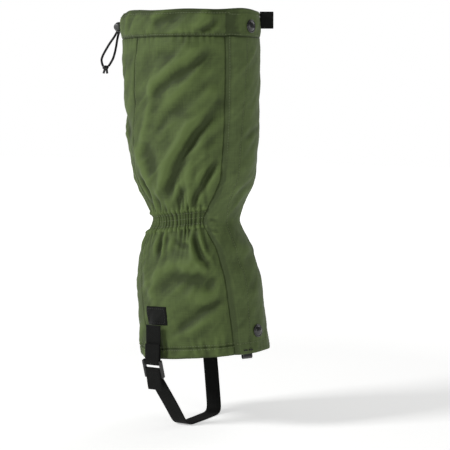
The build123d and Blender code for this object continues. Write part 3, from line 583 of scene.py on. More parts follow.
    def frame(self, angle: float, z: float, grow: float) -> tuple[np.ndarray, ...]:
        """Finds a place on the cloth and how the cloth lies there.

        Args:
            angle: Angle from the toe, in degrees.
            z: Height.
            grow: Distance outside the cloth.

        Returns:
            The place, and its level, up and outward directions.
        """
        here = self.point(np.array(angle), np.array(z), grow)
        turned, raised = 2.0, 3.0
        level = self.point(np.array(angle + turned), np.array(z), grow)
        level -= self.point(np.array(angle - turned), np.array(z), grow)
        up = self.point(np.array(angle), np.array(z + raised), grow)
        up -= self.point(np.array(angle), np.array(z - raised), grow)
        level /= np.linalg.norm(level)
        out = np.cross(level, up)
        out /= np.linalg.norm(out)
        return here, level, np.cross(out, level), out


# ---------------------------------------------------------------- finishes
def node(tree: bpy.types.NodeTree, kind: str, settings: dict | None = None,
         links: dict | None = None) -> bpy.types.Node:
    """Adds a node to a tree, with its settings and the links into it.

    Args:
        tree: The tree that gets the node.
        kind: The node's type.
        settings: Values for its properties, or for its inputs by name or number.
        links: Sockets to link to its inputs, by name or number.

    Returns:
        The node.
    """
    made = tree.nodes.new(kind)
    for key, value in (settings or {}).items():
        if isinstance(key, str) and hasattr(made, key):
            setattr(made, key, value)
        else:
            made.inputs[key].default_value = value
    for key, socket in (links or {}).items():
        tree.links.new(socket, made.inputs[key])
    return made


@dataclass(frozen=True)
class Finish:
    """What a surface is made of. Sizes are in millimetres."""

    name: str
    slot: str
    colour: str
    roughness: float = 0.5
    metallic: float = 0.0
    ior: float = 1.5
    mottle: float = 0.1
    mottle_size: float = 12.0
    grain: float = 0.1
    grain_size: float = 0.8
    sheen: float = 0.0
    coat: float = 0.0
    specular: float = 0.5

    def start(self) -> tuple[bpy.types.Material, bpy.types.NodeTree, bpy.types.Node]:
        """Starts a material with its shader's constant values set.

        Returns:
            The material, its tree and its shader.
        """
        material = bpy.data.materials.new(self.name)
        material.use_nodes = True
        tree = material.node_tree
        tree.nodes.clear()
        shader = node(tree, "ShaderNodeBsdfPrincipled", {
            "Base Color": linear(self.colour), "Roughness": self.roughness, "Metallic": self.metallic,
            "IOR": self.ior, "Sheen Weight": self.sheen, "Sheen Roughness": 0.45, "Coat Weight": self.coat,
            "Coat Roughness": 0.25, "Specular IOR Level": self.specular,
        })
        node(tree, "ShaderNodeOutputMaterial", {}, {"Surface": shader.outputs[0]})
        return material, tree, shader

    def place(self, tree: bpy.types.NodeTree) -> bpy.types.NodeSocket:
        """Where the pattern is read: the piece's own space."""
        return node(tree, "ShaderNodeTexCoord").outputs["Object"]

    def tint(self, tree: bpy.types.NodeTree, shader: bpy.types.Node, share: bpy.types.NodeSocket) -> None:
        """Varies the colour about its own value.

        Args:
            tree: The material's tree.
            shader: Its shader.
            share: Socket that goes from 0, darkest, to 1.
        """
        hue = linear(self.colour)
        low = [c * (1 - self.mottle) for c in hue[:3]] + [1.0]
        high = [c * (1 + self.mottle) for c in hue[:3]] + [1.0]
        mix = node(tree, "ShaderNodeMix", {"data_type": "RGBA", 6: low, 7: high}, {0: share})
        tree.links.new(mix.outputs[2], shader.inputs["Base Color"])

    @staticmethod
    def bump(tree: bpy.types.NodeTree, shader: bpy.types.Node, height: bpy.types.NodeSocket,
             depth: float) -> None:
        """Raises a pattern from the surface.

        Args:
            tree: The material's tree.
            shader: Its shader.
            height: Socket of the pattern, from 0 to 1.
            depth: How far 1 is raised, in millimetres.
        """
        made = node(tree, "ShaderNodeBump", {"Strength": 1.0, "Distance": depth * MM}, {"Height": height})
        tree.links.new(made.outputs[0], shader.inputs["Normal"])

    def make(self) -> bpy.types.Material:
        """Makes a moulded, cast or plated surface: faint mottle and a fine grain.

        Returns:
            The material.
        """
        material, tree, shader = self.start()
        place = self.place(tree)
        cloud = node(tree, "ShaderNodeTexNoise", {"Scale": 1 / (self.mottle_size * MM), "Detail": 3.0},
                     {"Vector": place})
        fine = node(tree, "ShaderNodeTexNoise", {"Scale": 1 / (self.grain_size * MM), "Detail": 2.0},
                    {"Vector": place})
        self.tint(tree, shader, cloud.outputs["Fac"])
        rough = node(tree, "ShaderNodeMapRange", {
            "To Min": max(0.02, self.roughness - 0.1), "To Max": min(1.0, self.roughness + 0.1),
        }, {"Value": fine.outputs["Fac"]})
        tree.links.new(rough.outputs[0], shader.inputs["Roughness"])
        self.bump(tree, shader, fine.outputs["Fac"], self.grain)
        return material


@dataclass(frozen=True)
class Woven(Finish):
    """Woven cloth or webbing: a grid of raised yarns on the piece's own map."""

    warp: float = 1.5
    weft: float = 1.5
    yarn: float = 0.12
    # Strength of the painted shading: shade painted into folds and seam grooves, highlight painted onto
    # ridges.
    painted_shading: float = 0.0

    @staticmethod
    def threads(tree: bpy.types.NodeTree, value: bpy.types.NodeSocket, pitch: float) -> bpy.types.NodeSocket:
        """Makes a wave that repeats once for each pair of yarns.

        Args:
            tree: The material's tree.
            value: Socket of the place across the yarns.
            pitch: Distance between yarns.

        Returns:
            Socket of the wave, from -1 to 1.
        """
        rate = math.pi / (pitch * MM)
        scaled = node(tree, "ShaderNodeMath", {"operation": "MULTIPLY", 1: rate}, {0: value})
        return node(tree, "ShaderNodeMath", {"operation": "SINE"}, {0: scaled.outputs[0]}).outputs[0]

    @staticmethod
    def slubs(tree: bpy.types.NodeTree, place: bpy.types.NodeSocket, across: float,
              along: float) -> bpy.types.NodeSocket:
        """Makes yarns of uneven thickness, long in one direction.

        Args:
            tree: The material's tree.
            place: Socket of the place on the map.
            across: Size of a slub in the map's first direction.
            along: Its size in the second.

        Returns:
            Socket of the thickness, from 0 to 1.
        """
        scale = (1 / (across * MM), 1 / (along * MM), 1.0)
        stretched = node(tree, "ShaderNodeVectorMath", {"operation": "MULTIPLY", 1: scale}, {0: place})
        noise = node(tree, "ShaderNodeTexNoise", {"Scale": 1.0, "Detail": 2.0},
                     {"Vector": stretched.outputs[0]})
        return noise.outputs["Fac"]

    def make(self) -> bpy.types.Material:
        """Makes the weave, its uneven dye, and shade painted into the folds and seam grooves with highlight
        painted on the ridges.

        Returns:
            The material.
        """
        material, tree, shader = self.start()
        place = node(tree, "ShaderNodeUVMap", {"uv_map": "cloth"}).outputs[0]
        split = node(tree, "ShaderNodeSeparateXYZ", {}, {0: place})
        warp = self.threads(tree, split.outputs[0], self.warp)
        weft = self.threads(tree, split.outputs[1], self.weft)
        weave = node(tree, "ShaderNodeMath", {"operation": "MULTIPLY"}, {0: warp, 1: weft}).outputs[0]
        long_warp = self.slubs(tree, place, self.warp, self.warp * 16)
        long_weft = self.slubs(tree, place, self.weft * 16, self.weft)
        slub = node(tree, "ShaderNodeMath", {"operation": "ADD"}, {0: long_warp, 1: long_weft}).outputs[0]
        height = node(tree, "ShaderNodeMath", {"operation": "MULTIPLY_ADD", 1: 0.35},
                      {0: weave, 2: slub}).outputs[0]
        cloud = node(tree, "ShaderNodeTexNoise", {
            "Scale": 1 / (self.mottle_size * MM), "Detail": 4.0, "Roughness": 0.6,
        }, {"Vector": place}).outputs["Fac"]
        share = node(tree, "ShaderNodeMath", {"operation": "MULTIPLY_ADD", 1: 0.5},
                     {0: slub, 2: cloud}).outputs[0]
        share = node(tree, "ShaderNodeMath", {"operation": "SUBTRACT", 1: 0.5}, {0: share}).outputs[0]
        # Painted shade and highlight: the colour darkens in folds and seam grooves and lightens on ridges.
        if self.painted_shading:
            painted_shading = node(tree, "ShaderNodeAttribute", {"attribute_name": "painted_shading"}).outputs["Fac"]
            share = node(tree, "ShaderNodeMath", {
                "operation": "MULTIPLY_ADD", 1: -self.painted_shading,
            }, {0: painted_shading, 2: share}).outputs[0]
        self.tint(tree, shader, share)
        rough = node(tree, "ShaderNodeMapRange", {
            "To Min": self.roughness - 0.08, "To Max": self.roughness + 0.12,
        }, {"Value": slub})
        tree.links.new(rough.outputs[0], shader.inputs["Roughness"])
        self.bump(tree, shader, height, self.yarn)
        return material


@dataclass(frozen=True)
class Braided(Finish):
    """Round braided cord: slanted strands read along the curve's own map."""

    strands: float = 8.0
    picks: float = 24.0

    def make(self) -> bpy.types.Material:
        """Makes two sets of crossing strands.

        Returns:
            The material.
        """
        material, tree, shader = self.start()
        place = node(tree, "ShaderNodeTexCoord").outputs["UV"]
        split = node(tree, "ShaderNodeSeparateXYZ", {}, {0: place})
        waves = []
        for hand in (-1.0, 1.0):
            around = node(tree, "ShaderNodeMath", {"operation": "MULTIPLY", 1: hand * self.strands * math.pi},
                          {0: split.outputs[1]}).outputs[0]
            slanted = node(tree, "ShaderNodeMath", {"operation": "MULTIPLY_ADD", 1: self.picks * math.pi},
                           {0: split.outputs[0], 2: around}).outputs[0]
            waves.append(node(tree, "ShaderNodeMath", {"operation": "SINE"}, {0: slanted}).outputs[0])
        braid = node(tree, "ShaderNodeMath", {"operation": "MULTIPLY"}, {0: waves[0], 1: waves[1]}).outputs[0]
        share = node(tree, "ShaderNodeMath", {"operation": "MULTIPLY_ADD", 1: 0.5, 2: 0.5},
                     {0: braid}).outputs[0]
        self.tint(tree, shader, share)
        self.bump(tree, shader, share, self.grain)
        return material


# Woven nylon, calendered and proofed on the back: close yarns with a low, broad sheen.
# The real yarns are 0.3 mm apart, too fine to show, so they are drawn five times as coarse.
# Its colour is painted darker in its folds and seam grooves and lighter on its ridges, as shade and
# highlight.
SHELL = Woven("nylon_plain_weave", "shell_fabric", "46542C", roughness=0.56, mottle=0.45, mottle_size=26.0,
              sheen=0.05, specular=0.22, warp=1.5, weft=1.3, yarn=0.10, painted_shading=0.6)
# The same cloth, doubled and lying flat: it turns a shade darker.
# It too is painted darker in its folds and seam grooves and lighter on its ridges, as shade and highlight.
FLAP_SHELL = Woven("nylon_plain_weave_doubled", "shell_fabric", "4C5A33", roughness=0.56, mottle=0.42,
                   mottle_size=30.0, sheen=0.05, specular=0.22, warp=1.5, weft=1.3, yarn=0.10, painted_shading=0.55)
# Knitted polyester elastic: dull, with close ribs.
ELASTIC = Woven("polyester_knitted_elastic", "elastic", "1B1B1A", roughness=0.8, warp=1.2, weft=2.0,
                yarn=0.25, specular=0.2)
# Polypropylene webbing: coarse picks with a slight shine on each.
WEBBING = Woven("polypropylene_webbing", "webbing", "0A0B09", roughness=0.6, mottle=0.3, mottle_size=5.0,
                sheen=0.02, specular=0.14, warp=2.0, weft=1.3, yarn=0.30)
# Coated nylon patch: close weave under a smooth coat, nearly black.
PATCH = Woven("coated_nylon_patch", "patch", "090B08", roughness=0.5, mottle=0.25, mottle_size=9.0,
              specular=0.14, warp=1.3, weft=1.3, yarn=0.14)
# Hook and loop tape: a dull pile.
PILE = Woven("nylon_pile_tape", "fastener_tape", "2A3022", roughness=0.9, mottle=0.4, mottle_size=2.0,
             sheen=0.4, warp=1.1, weft=1.1, yarn=0.5)
# Braided polyester cord, drawn with a coarse pick so that the braid shows.
CORD = Braided("polyester_braided_cord", "cord", "0F1011", roughness=0.62, mottle=0.45, grain=0.35,
               sheen=0.05, specular=0.2)
# Spun polyester sewing thread, a shade lighter than the cloth.
THREAD = Finish("polyester_thread", "shell_fabric", "5E6A45", roughness=0.7, mottle=0.2, grain_size=0.5,
                sheen=0.2)
# The same thread in black, on the patches.
DARK_THREAD = Finish("polyester_thread_black", "webbing", "262626", roughness=0.7, mottle=0.2, grain_size=0.5)
# Moulded acetal: even, waxy, with the mould's fine spark texture.
ACETAL = Finish("moulded_acetal", "plastic", "161615", roughness=0.42, ior=1.48, mottle=0.12, grain=0.05,
                grain_size=0.9)
# The cord lock's acetal is a shade greyer than the ladder lock's.
LOCK_ACETAL = Finish("moulded_acetal_grey", "plastic", "3A3B39", roughness=0.4, ior=1.48, mottle=0.15,
                     grain=0.05, grain_size=0.9)
# Enamelled brass: black stoved paint with a soft gloss.
ENAMEL = Finish("stoved_enamel_on_brass", "snap_metal", "0A0B0B", roughness=0.2, ior=1.52, mottle=0.2,
                grain=0.02, coat=0.4)
# Bright nickel plate on brass.
NICKEL = Finish("nickel_plate", "plain_metal", "8F8C86", roughness=0.3, metallic=1.0, mottle=0.1, grain=0.02)
# Drawn steel wire: bright, with a tight highlight.
SPRING = Finish("drawn_steel_wire", "plain_metal", "9A9A98", roughness=0.25, metallic=1.0, mottle=0.1,
                grain=0.02)


class Wardrobe:
    """Makes each finish once."""

    def __init__(self) -> None:
        """Starts with nothing made."""
        self.made: dict[str, bpy.types.Material] = {}

    def get(self, finish: Finish) -> bpy.types.Material:
        """The material of a finish."""
        if finish.name not in self.made:
            self.made[finish.name] = finish.make()
        return self.made[finish.name]


WARDROBE = Wardrobe()


# ---------------------------------------------------------------- mesh builders
def mesh_object(name: str, points: np.ndarray, faces: list | np.ndarray, finish: Finish,
                uv: np.ndarray | None = None, painted_shading: np.ndarray | None = None) -> bpy.types.Object:
    """Makes a piece from points in millimetres.

    Args:
        name: The piece's name.
        points: One row for each point.
        faces: Point numbers of each face.
        finish: What it is made of.
        uv: Place on the piece's own map of each point, in millimetres.
        painted_shading: How much shade is painted on the cloth at each point; below 0 it is painted
            highlight.

    Returns:
        The piece.
    """
    mesh = bpy.data.meshes.new(name)
    faces = faces if isinstance(faces, list) else faces.tolist()
    mesh.from_pydata((np.asarray(points, float) * MM).tolist(), [], faces)
    if uv is not None:
        corners = np.empty(len(mesh.loops), np.int32)
        mesh.loops.foreach_get("vertex_index", corners)
        layer = mesh.uv_layers.new(name="cloth")
        layer.data.foreach_set("uv", (np.asarray(uv)[corners] * MM).astype(np.float32).ravel())
    # Stores the painted shade and highlight for the cloth's material.
    if painted_shading is not None:
        mesh.attributes.new("painted_shading", "FLOAT", "POINT").data.foreach_set("value", painted_shading.astype(np.float32))
    mesh.polygons.foreach_set("use_smooth", [True] * len(mesh.polygons))
    mesh.update()
    made = new_object(name, mesh, WARDROBE.get(finish))
    LOG.info("%s: %d faces", name, len(mesh.polygons))
    return made


def grid_faces(rows: int, columns: int, start: int = 0, turned: bool = False) -> np.ndarray:
    """Quads of a grid of points, counted row by row.

    Args:
        rows: Rows of points.
        columns: Points in a row.
        start: Number of the first point.
        turned: True to face the other way.

    Returns:
        Four point numbers for each quad.
    """
    index = start + np.arange(rows * columns).reshape(rows, columns)
    quads = np.stack([index[:-1, :-1], index[:-1, 1:], index[1:, 1:], index[1:, :-1]], -1).reshape(-1, 4)
    return quads[:, ::-1] if turned else quads


def rim_faces(rows: int, columns: int) -> np.ndarray:
    """Quads that close the edge between a grid and the same grid after it.

    Args:
        rows: Rows of points.
        columns: Points in a row.

    Returns:
        Four point numbers for each quad.
    """
    index = np.arange(rows * columns).reshape(rows, columns)
    loop = np.concatenate([index[0, :-1], index[:-1, -1], index[-1, :0:-1], index[:0:-1, 0]])
    after = np.roll(loop, -1)
    other = rows * columns
    return np.stack([loop + other, after + other, after, loop], -1)


def shell(name: str, outer: np.ndarray, inner: np.ndarray, uv: np.ndarray, finish: Finish,
          painted_shading: np.ndarray | None = None) -> bpy.types.Object:
    """Closed sheet between two grids of points whose columns run to the left of up, seen from outside.

    Args:
        name: The piece's name.
        outer: Outer points, rows by columns by 3.
        inner: Inner points.
        uv: Place on the map of each grid point.
        finish: What it is made of.
        painted_shading: How much shade is painted at each grid point; below 0 it is painted highlight.

    Returns:
        The piece.
    """
    rows, columns = outer.shape[:2]
    points = np.concatenate([outer.reshape(-1, 3), inner.reshape(-1, 3)])
    faces = np.concatenate([
        grid_faces(rows, columns), grid_faces(rows, columns, rows * columns, True), rim_faces(rows, columns)
    ])
    flat = uv.reshape(-1, 2)
    dark = None if painted_shading is None else np.concatenate([painted_shading.ravel(), painted_shading.ravel()])
    return mesh_object(name, points, faces, finish, np.concatenate([flat, flat]), dark)


def sweep(name: str, path: np.ndarray, across: np.ndarray, width: float, thick: float,
          finish: Finish) -> bpy.types.Object:
    """Flat strap with rounded edges along a path.

    Args:
        name: The piece's name.
        path: Middle of the strap, one row for each point.
        across: Direction of its width at each point.
        width: Its width.
        thick: Its thickness.
        finish: What it is made of.

    Returns:
        The piece.
    """
    outline = []
    half, edge = width / 2, thick / 2
    for x in np.linspace(-half + edge, half - edge, 9):
        outline.append((x, -edge))
    for turn in np.radians(np.linspace(-60, 60, 5)):
        outline.append((half - edge + edge * math.cos(turn), edge * math.sin(turn)))
    for x in np.linspace(half - edge, -half + edge, 9):
        outline.append((x, edge))
    for turn in np.radians(np.linspace(120, 240, 5)):
        outline.append((-half + edge + edge * math.cos(turn), edge * math.sin(turn)))
    outline = np.array(outline)
    tangent = np.gradient(path, axis=0)
    tangent /= np.linalg.norm(tangent, axis=1)[:, None]
    across = across / np.linalg.norm(across, axis=1)[:, None]
    normal = np.cross(across, tangent)
    ring = path[:, None] + outline[None, :, :1] * across[:, None] + outline[None, :, 1:] * normal[:, None]
    count, sides = ring.shape[:2]
    index = np.arange(count * sides).reshape(count, sides)
    around = np.roll(index, -1, axis=1)
    faces = np.stack([index[:-1], around[:-1], around[1:], index[1:]], -1).reshape(-1, 4).tolist()
    faces += [index[0, ::-1].tolist(), index[-1].tolist()]
    along = np.concatenate([[0.0], np.cumsum(np.linalg.norm(np.diff(path, axis=0), axis=1))])
    uv = np.stack(np.broadcast_arrays(outline[None, :, 0], along[:, None]), -1)
    made = mesh_object(name, ring.reshape(-1, 3), faces, finish, uv.reshape(-1, 2))
    face_out(made)
    return made


def face_out(piece: bpy.types.Object) -> None:
    """Turns every face of a closed piece outwards.

    Args:
        piece: The piece, whose doubled points are joined too.
    """
    work = bmesh.new()
    work.from_mesh(piece.data)
    bmesh.ops.remove_doubles(work, verts=work.verts, dist=1e-6)
    bmesh.ops.recalc_face_normals(work, faces=work.faces)
    work.to_mesh(piece.data)
    work.free()


def lathe(name: str, outline: list[tuple[float, float]], place: tuple, finish: Finish,
          sides: int = 40) -> bpy.types.Object:
    """Round piece turned about an axis.

    Args:
        name: The piece's name.
        outline: Radius and distance along the axis, from the axis to the axis.
        place: Origin, two directions across the axis and the axis's direction.
        finish: What it is made of.
        sides: Points round it.

    Returns:
        The piece.
    """
    origin, e1, e2, axis = place
    line = smooth_corners(outline)
    turn = np.linspace(0, 2 * math.pi, sides, endpoint=False)
    ring = (line[:, None, :1] * (np.cos(turn)[None, :, None] * e1 + np.sin(turn)[None, :, None] * e2)
            + line[:, None, 1:] * axis + origin)
    index = np.arange(len(line) * sides).reshape(len(line), sides)
    around = np.roll(index, -1, axis=1)
    faces = np.stack([index[:-1], around[:-1], around[1:], index[1:]], -1).reshape(-1, 4).tolist()
    made = mesh_object(name, ring.reshape(-1, 3), faces, finish)
    face_out(made)
    return made


def smooth_corners(outline: list[tuple[float, float]], share: float = 0.22) -> np.ndarray:
    """Cuts each inner corner of an outline twice, so that edges catch the light.

    Args:
        outline: Points of the outline.
        share: How much of each side is cut at each end.

    Returns:
        The rounded outline.
    """
    line = np.array(outline, float)
    for _ in range(2):
        parts = [line[:1]]
        for a, b in zip(line[:-1], line[1:]):
            parts.append(np.array([a + (b - a) * share, b - (b - a) * share]))
        parts.append(line[-1:])
        line = np.concatenate(parts)
    return line


# ---------------------------------------------------------------- stitches
class Stitcher:
    """Rows of thread laid along lines, one mesh for each body."""

    def __init__(self, thread: float = 0.62, length: float = 2.5, pitch: float = 3.3) -> None:
        """Sets the thread's size and the stitches' spacing."""
        self.sizes = (thread, length, pitch)
        self.lines: dict[str, list[np.ndarray]] = {}
        self.tree = self.make_tree()

    def add(self, group: str, line: np.ndarray) -> None:
        """Keeps a line of points in millimetres for one group of stitches."""
        self.lines.setdefault(group, []).append(np.asarray(line, float))

    @staticmethod
    def make_tree() -> bpy.types.NodeTree:
        """Makes the tree that turns each line into a row of short rounded threads.

        Returns:
            The tree, with the thread, length, pitch and material as inputs.
        """
        tree = bpy.data.node_groups.new("stitches", "GeometryNodeTree")
        face = tree.interface
        face.new_socket("Geometry", in_out="INPUT", socket_type="NodeSocketGeometry")
        for name in ("Thread", "Length", "Pitch"):
            face.new_socket(name, in_out="INPUT", socket_type="NodeSocketFloat")
        face.new_socket("Material", in_out="INPUT", socket_type="NodeSocketMaterial")
        face.new_socket("Geometry", in_out="OUTPUT", socket_type="NodeSocketGeometry")
        given = node(tree, "NodeGroupInput")
        points = node(tree, "GeometryNodeCurveToPoints", {"mode": "LENGTH"},
                      {"Curve": given.outputs["Geometry"], "Length": given.outputs["Pitch"]})
        radius = node(tree, "ShaderNodeMath", {"operation": "MULTIPLY", 1: 0.5}, {0: given.outputs["Thread"]})
        half = node(tree, "ShaderNodeMath", {"operation": "MULTIPLY", 1: 0.5}, {0: given.outputs["Length"]})
        bead = node(tree, "GeometryNodeMeshUVSphere", {"Segments": 6, "Rings": 4, "Radius": 1.0})
        size = node(tree, "ShaderNodeCombineXYZ", {},
                    {0: radius.outputs[0], 1: radius.outputs[0], 2: half.outputs[0]})
        aim = node(tree, "FunctionNodeAlignRotationToVector", {"axis": "Z"},
                   {"Vector": points.outputs["Tangent"]})
        rows = node(tree, "GeometryNodeInstanceOnPoints", {}, {
            "Points": points.outputs["Points"], "Instance": bead.outputs["Mesh"],
            "Rotation": aim.outputs[0], "Scale": size.outputs[0],
        })
        real = node(tree, "GeometryNodeRealizeInstances", {}, {0: rows.outputs[0]})
        dress = node(tree, "GeometryNodeSetMaterial", {},
                     {"Geometry": real.outputs[0], "Material": given.outputs["Material"]})
        node(tree, "NodeGroupOutput", {}, {0: dress.outputs[0]})
        return tree

    def sew(self, group: str, name: str, finish: Finish) -> bpy.types.Object:
        """Turns a group's lines into one plain mesh of threads.

        Args:
            group: Whose lines.
            name: The piece's name.
            finish: The thread.

        Returns:
            The piece.
        """
        curve = bpy.data.curves.new(name, "CURVE")
        curve.dimensions = "3D"
        for line in self.lines[group]:
            spline = curve.splines.new("POLY")
            spline.points.add(len(line) - 1)
            spline.points.foreach_set("co", np.concatenate([line * MM, np.ones((len(line), 1))], 1).ravel())
        guide = new_object(name + "_guide", curve)
        modifier = guide.modifiers.new("stitches", "NODES")
        modifier.node_group = self.tree
        values = [size * MM for size in self.sizes] + [WARDROBE.get(finish)]
        sockets = [s for s in self.tree.interface.items_tree if s.in_out == "INPUT"][1:]
        for socket, value in zip(sockets, values):
            modifier[socket.identifier] = value
        graph = bpy.context.evaluated_depsgraph_get()
        mesh = bpy.data.meshes.new_from_object(guide.evaluated_get(graph), depsgraph=graph)
        bpy.data.objects.remove(guide)
        mesh.name = name
        mesh.materials.clear()
        mesh.polygons.foreach_set("use_smooth", [True] * len(mesh.polygons))
        made = new_object(name, mesh, WARDROBE.get(finish))
        LOG.info("%s: %d faces", name, len(mesh.polygons))
        return made


@dataclass
class Scene:
    """What every sub-assembly shares."""

    frame: dict
    relief: Relief
    stitcher: Stitcher

    @property
    def form(self) -> LegForm:
        """The plain tube."""
        return self.relief.form


# ---------------------------------------------------------------- leg of the gaiter
@dataclass
class Leg:
    """The sewn tube: three panels, the facing under the flap, both hems and the elastics."""

    scene: Scene
    cloth: float = 1.0
    seam_path: tuple = ((70, -126), (171, -134), (190, -138), (245, -140), (312, -133), (361, -127),
                        (386, -123), (409, -120), (458, -114), (490, -113))
    row: float = 2.0
    back_stitch: float = 2.4
    channel: float = 4.0
    # Share of the band's height and offset of each row of stitches round it.
    band_stitches: tuple[tuple[float, float], ...] = ((0.07, 0.55), (0.86, 0.95))
    hem_stitches: tuple[float, float] = (HEM_HEIGHT - 2.0, HEM_HEIGHT + 2.2)
    elastic_stitches: tuple[float, float, float] = (-6.6, 0.0, 6.6)
    hem_margin: float = 1.6
    patch_size: tuple[float, float] = (34.0, 23.0)
    patch_corners: tuple = ((-41.0, 118.5), (-7.0, 121.5), (-9.0, 143.5), (-42.0, 141.0))
    tape_heights: tuple[float, float] = (130.0, 452.0)

    def back_angle(self, z: np.ndarray) -> np.ndarray:
        """Angle of the outer back seam at a height."""
        z_at, angle = np.array(self.seam_path, float).T
        return np.interp(z, z_at, angle)

    def inner_back_angle(self, z: np.ndarray) -> np.ndarray:
        """Angle of the inner back seam, opposite the outer one."""
        return -self.back_angle(z)

    def far_back_angle(self, z: np.ndarray) -> np.ndarray:
        """The inner back seam again, reached the other way round."""
        return -self.back_angle(z) - 360

    def facing_end(self, z: np.ndarray) -> np.ndarray:
        """Where the facing stops, just short of its seam."""
        return self.facing_edge(z) - 0.1

    def hem_end(self, z: np.ndarray) -> np.ndarray:
        """The flap's seam again, reached the long way round from the slit."""
        return 360.0 + self.flap_seam(z)

    def flap_seam(self, z: np.ndarray) -> np.ndarray:
        """Angle of the seam that the flap hangs on."""
        return self.scene.form.angle_of_y(FLAP_SEAM_Y, z)

    def slit(self, z: np.ndarray) -> np.ndarray:
        """Angle of the facing's edge, just past the flap's seam."""
        return self.scene.form.angle_of_y(SLIT_Y, z)

    def facing_edge(self, z: np.ndarray) -> np.ndarray:
        """Angle of the seam between the facing and the inner panel."""
        return self.scene.form.angle_of_y(FACING_Y, z)

    def grid(self, left: Line, right: Line, low: tuple[float, float], high: tuple[float, float], columns: int,
             rows: int) -> tuple[np.ndarray, np.ndarray]:
        """Angles and heights of a patch between two side lines and two levels.

        Args:
            left: Function of height that gives the lower angle.
            right: Function of height that gives the higher angle.
            low: Height of the lower edge at X = 0, and its slope.
            high: The same for the upper edge.
            columns: Points in a row.
            rows: Rows of points.

        Returns:
            Two tables, rows by columns.
        """
        s, t = np.meshgrid(np.linspace(0, 1, columns), np.linspace(0, 1, rows))
        z = np.full(s.shape, 200.0)
        angle = np.zeros(s.shape)
        for _ in range(5):
            angle = left(z) * (1 - s) + right(z) * s
            x_low = self.scene.form.point(angle, np.full(z.shape, low[0]), 0.0)[..., 0]
            x_high = self.scene.form.point(angle, np.full(z.shape, high[0]), 0.0)[..., 0]
            z = (low[0] + low[1] * x_low) * (1 - t) + (high[0] + high[1] * x_high) * t
        return angle, z

    def sheet(self, name: str, cad: str, place: tuple[np.ndarray, np.ndarray], outer: Offset, inner: Offset,
              finish: Finish = SHELL, body: str = "gaiter") -> bpy.types.Object:
        """Makes a closed cloth sheet over a grid, between two offsets from the folded tube.

        Args:
            name: The piece's name.
            cad: The frame part that it stands for.
            place: Angles and heights of its grid.
            outer: Offset of its outer face.
            inner: Offset of its inner face.
            finish: What it is made of.
            body: What it rides on, or nothing to leave it unattached.

        Returns:
            The piece.
        """
        angle, z = place
        relief = self.scene.relief
        outer_grow = np.broadcast_to(outer, z.shape)
        inner_grow = np.broadcast_to(inner, z.shape)
        # Painted shading: the relief's fold shading, plus shade painted where the sheet dips below its usual
        # offset at seams and hems.
        painted_shading = relief.at(relief.painted_shading, angle, z) + np.clip((self.level(outer) - outer_grow) * 0.8, 0, 1)
        uv = np.stack([angle * ARC, z], -1)
        outside, inside = relief.point(angle, z, outer_grow), relief.point(angle, z, inner_grow)
        made = shell(name, outside, inside, uv, finish, painted_shading)
        if body:
            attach(made, body)
        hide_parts(cad)
        return made

    @staticmethod
    def level(outer: Offset) -> float:
        """Usual offset of a sheet, away from its seams."""
        return float(np.median(outer))

    @staticmethod
    def side_distance(angle: np.ndarray) -> tuple[np.ndarray, np.ndarray]:
        """Distance of each point from the first and from the last column, in millimetres."""
        return (angle - angle[:, :1]) * ARC * ARC_SHARE, (angle[:, -1:] - angle) * ARC * ARC_SHARE

    @staticmethod
    def seam(distance: np.ndarray, allowance: bool) -> np.ndarray:
        """Offset near a seam: a groove, and the ridge of the allowance folded to one side.

        Args:
            distance: Distance from the seam, in millimetres.
            allowance: True on the side that has the ridge.

        Returns:
            The offset at each distance.
        """
        groove = -0.9 * bell(distance / 0.8)
        if not allowance:
            return groove
        return groove + 0.22 * smooth((distance - 0.8) / 1.2) * smooth((7.0 - distance) / 3.5)

    def build_panels(self) -> None:
        """Outer, back and inner panels, the facing under the flap, and the back seams' stitches."""
        relief = self.scene.relief
        hem = (HEM_Z + HEM_HEIGHT, HEM_TILT)
        band = (BAND_Z, 0.0)
        rows = int((BAND_Z - HEM_Z) / self.row)

        place = self.grid(self.back_angle, self.flap_seam, hem, band, 196, rows)
        first, last = self.side_distance(place[0])
        outer = self.seam(first, True) + self.seam(last, False) + self.hem_groove(*place)
        panel = self.sheet("outer_panel", "lateral_panel", place, outer, outer - self.cloth)
        self.declare(panel, 0.185, PANEL_LENGTH, 0.0545)

        place = self.grid(self.far_back_angle, self.back_angle, hem, band, 150, rows)
        first, last = self.side_distance(place[0])
        outer = self.seam(first, False) + self.seam(last, False) + self.hem_groove(*place)
        panel = self.sheet("rear_panel", "back_panel", place, outer, outer - self.cloth)
        self.declare(panel, 0.165, PANEL_LENGTH, 0.0478)

        place = self.grid(self.facing_edge, self.inner_back_angle, hem, band, 170, rows)
        first, last = self.side_distance(place[0])
        outer = self.seam(first, False) + self.seam(last, True) + self.hem_groove(*place)
        outer = outer + relief.at(relief.bulge, *place) * smooth(first / 7.0)
        panel = self.sheet("inner_panel", "medial_panel", place, outer, outer - self.cloth)
        self.declare(panel, 0.165, PANEL_LENGTH, 0.0478)

        place = self.grid(self.slit, self.facing_end, hem, band, 48, rows)
        panel = self.sheet("facing", "front_underlap", place, 0.0, -self.cloth)
        self.declare(panel, 0.056, PANEL_LENGTH)

        heights = np.arange(HEM_Z + HEM_HEIGHT - 4, BAND_Z, 2.0)
        side = self.back_angle(heights) + self.back_stitch / ARC / ARC_SHARE
        for turn in (1.0, -1.0):
            self.scene.stitcher.add("gaiter", relief.point(turn * side, heights, 0.3))

    @staticmethod
    def declare(panel: bpy.types.Object, width: float, length: float, area: float | None = None) -> None:
        """Takes a cloth sheet and the size it was cut to, in metres, and does nothing with them."""

    def hem_groove(self, angle: np.ndarray, z: np.ndarray) -> np.ndarray:
        """Offset where the panels run under the hems."""
        x = self.scene.form.point(angle, z, 0.0)[..., 0]
        foot = z - (HEM_Z + HEM_HEIGHT + HEM_TILT * x)
        return -0.9 * bell((BAND_Z - z) / 1.2) - 0.7 * bell(foot / 1.2)

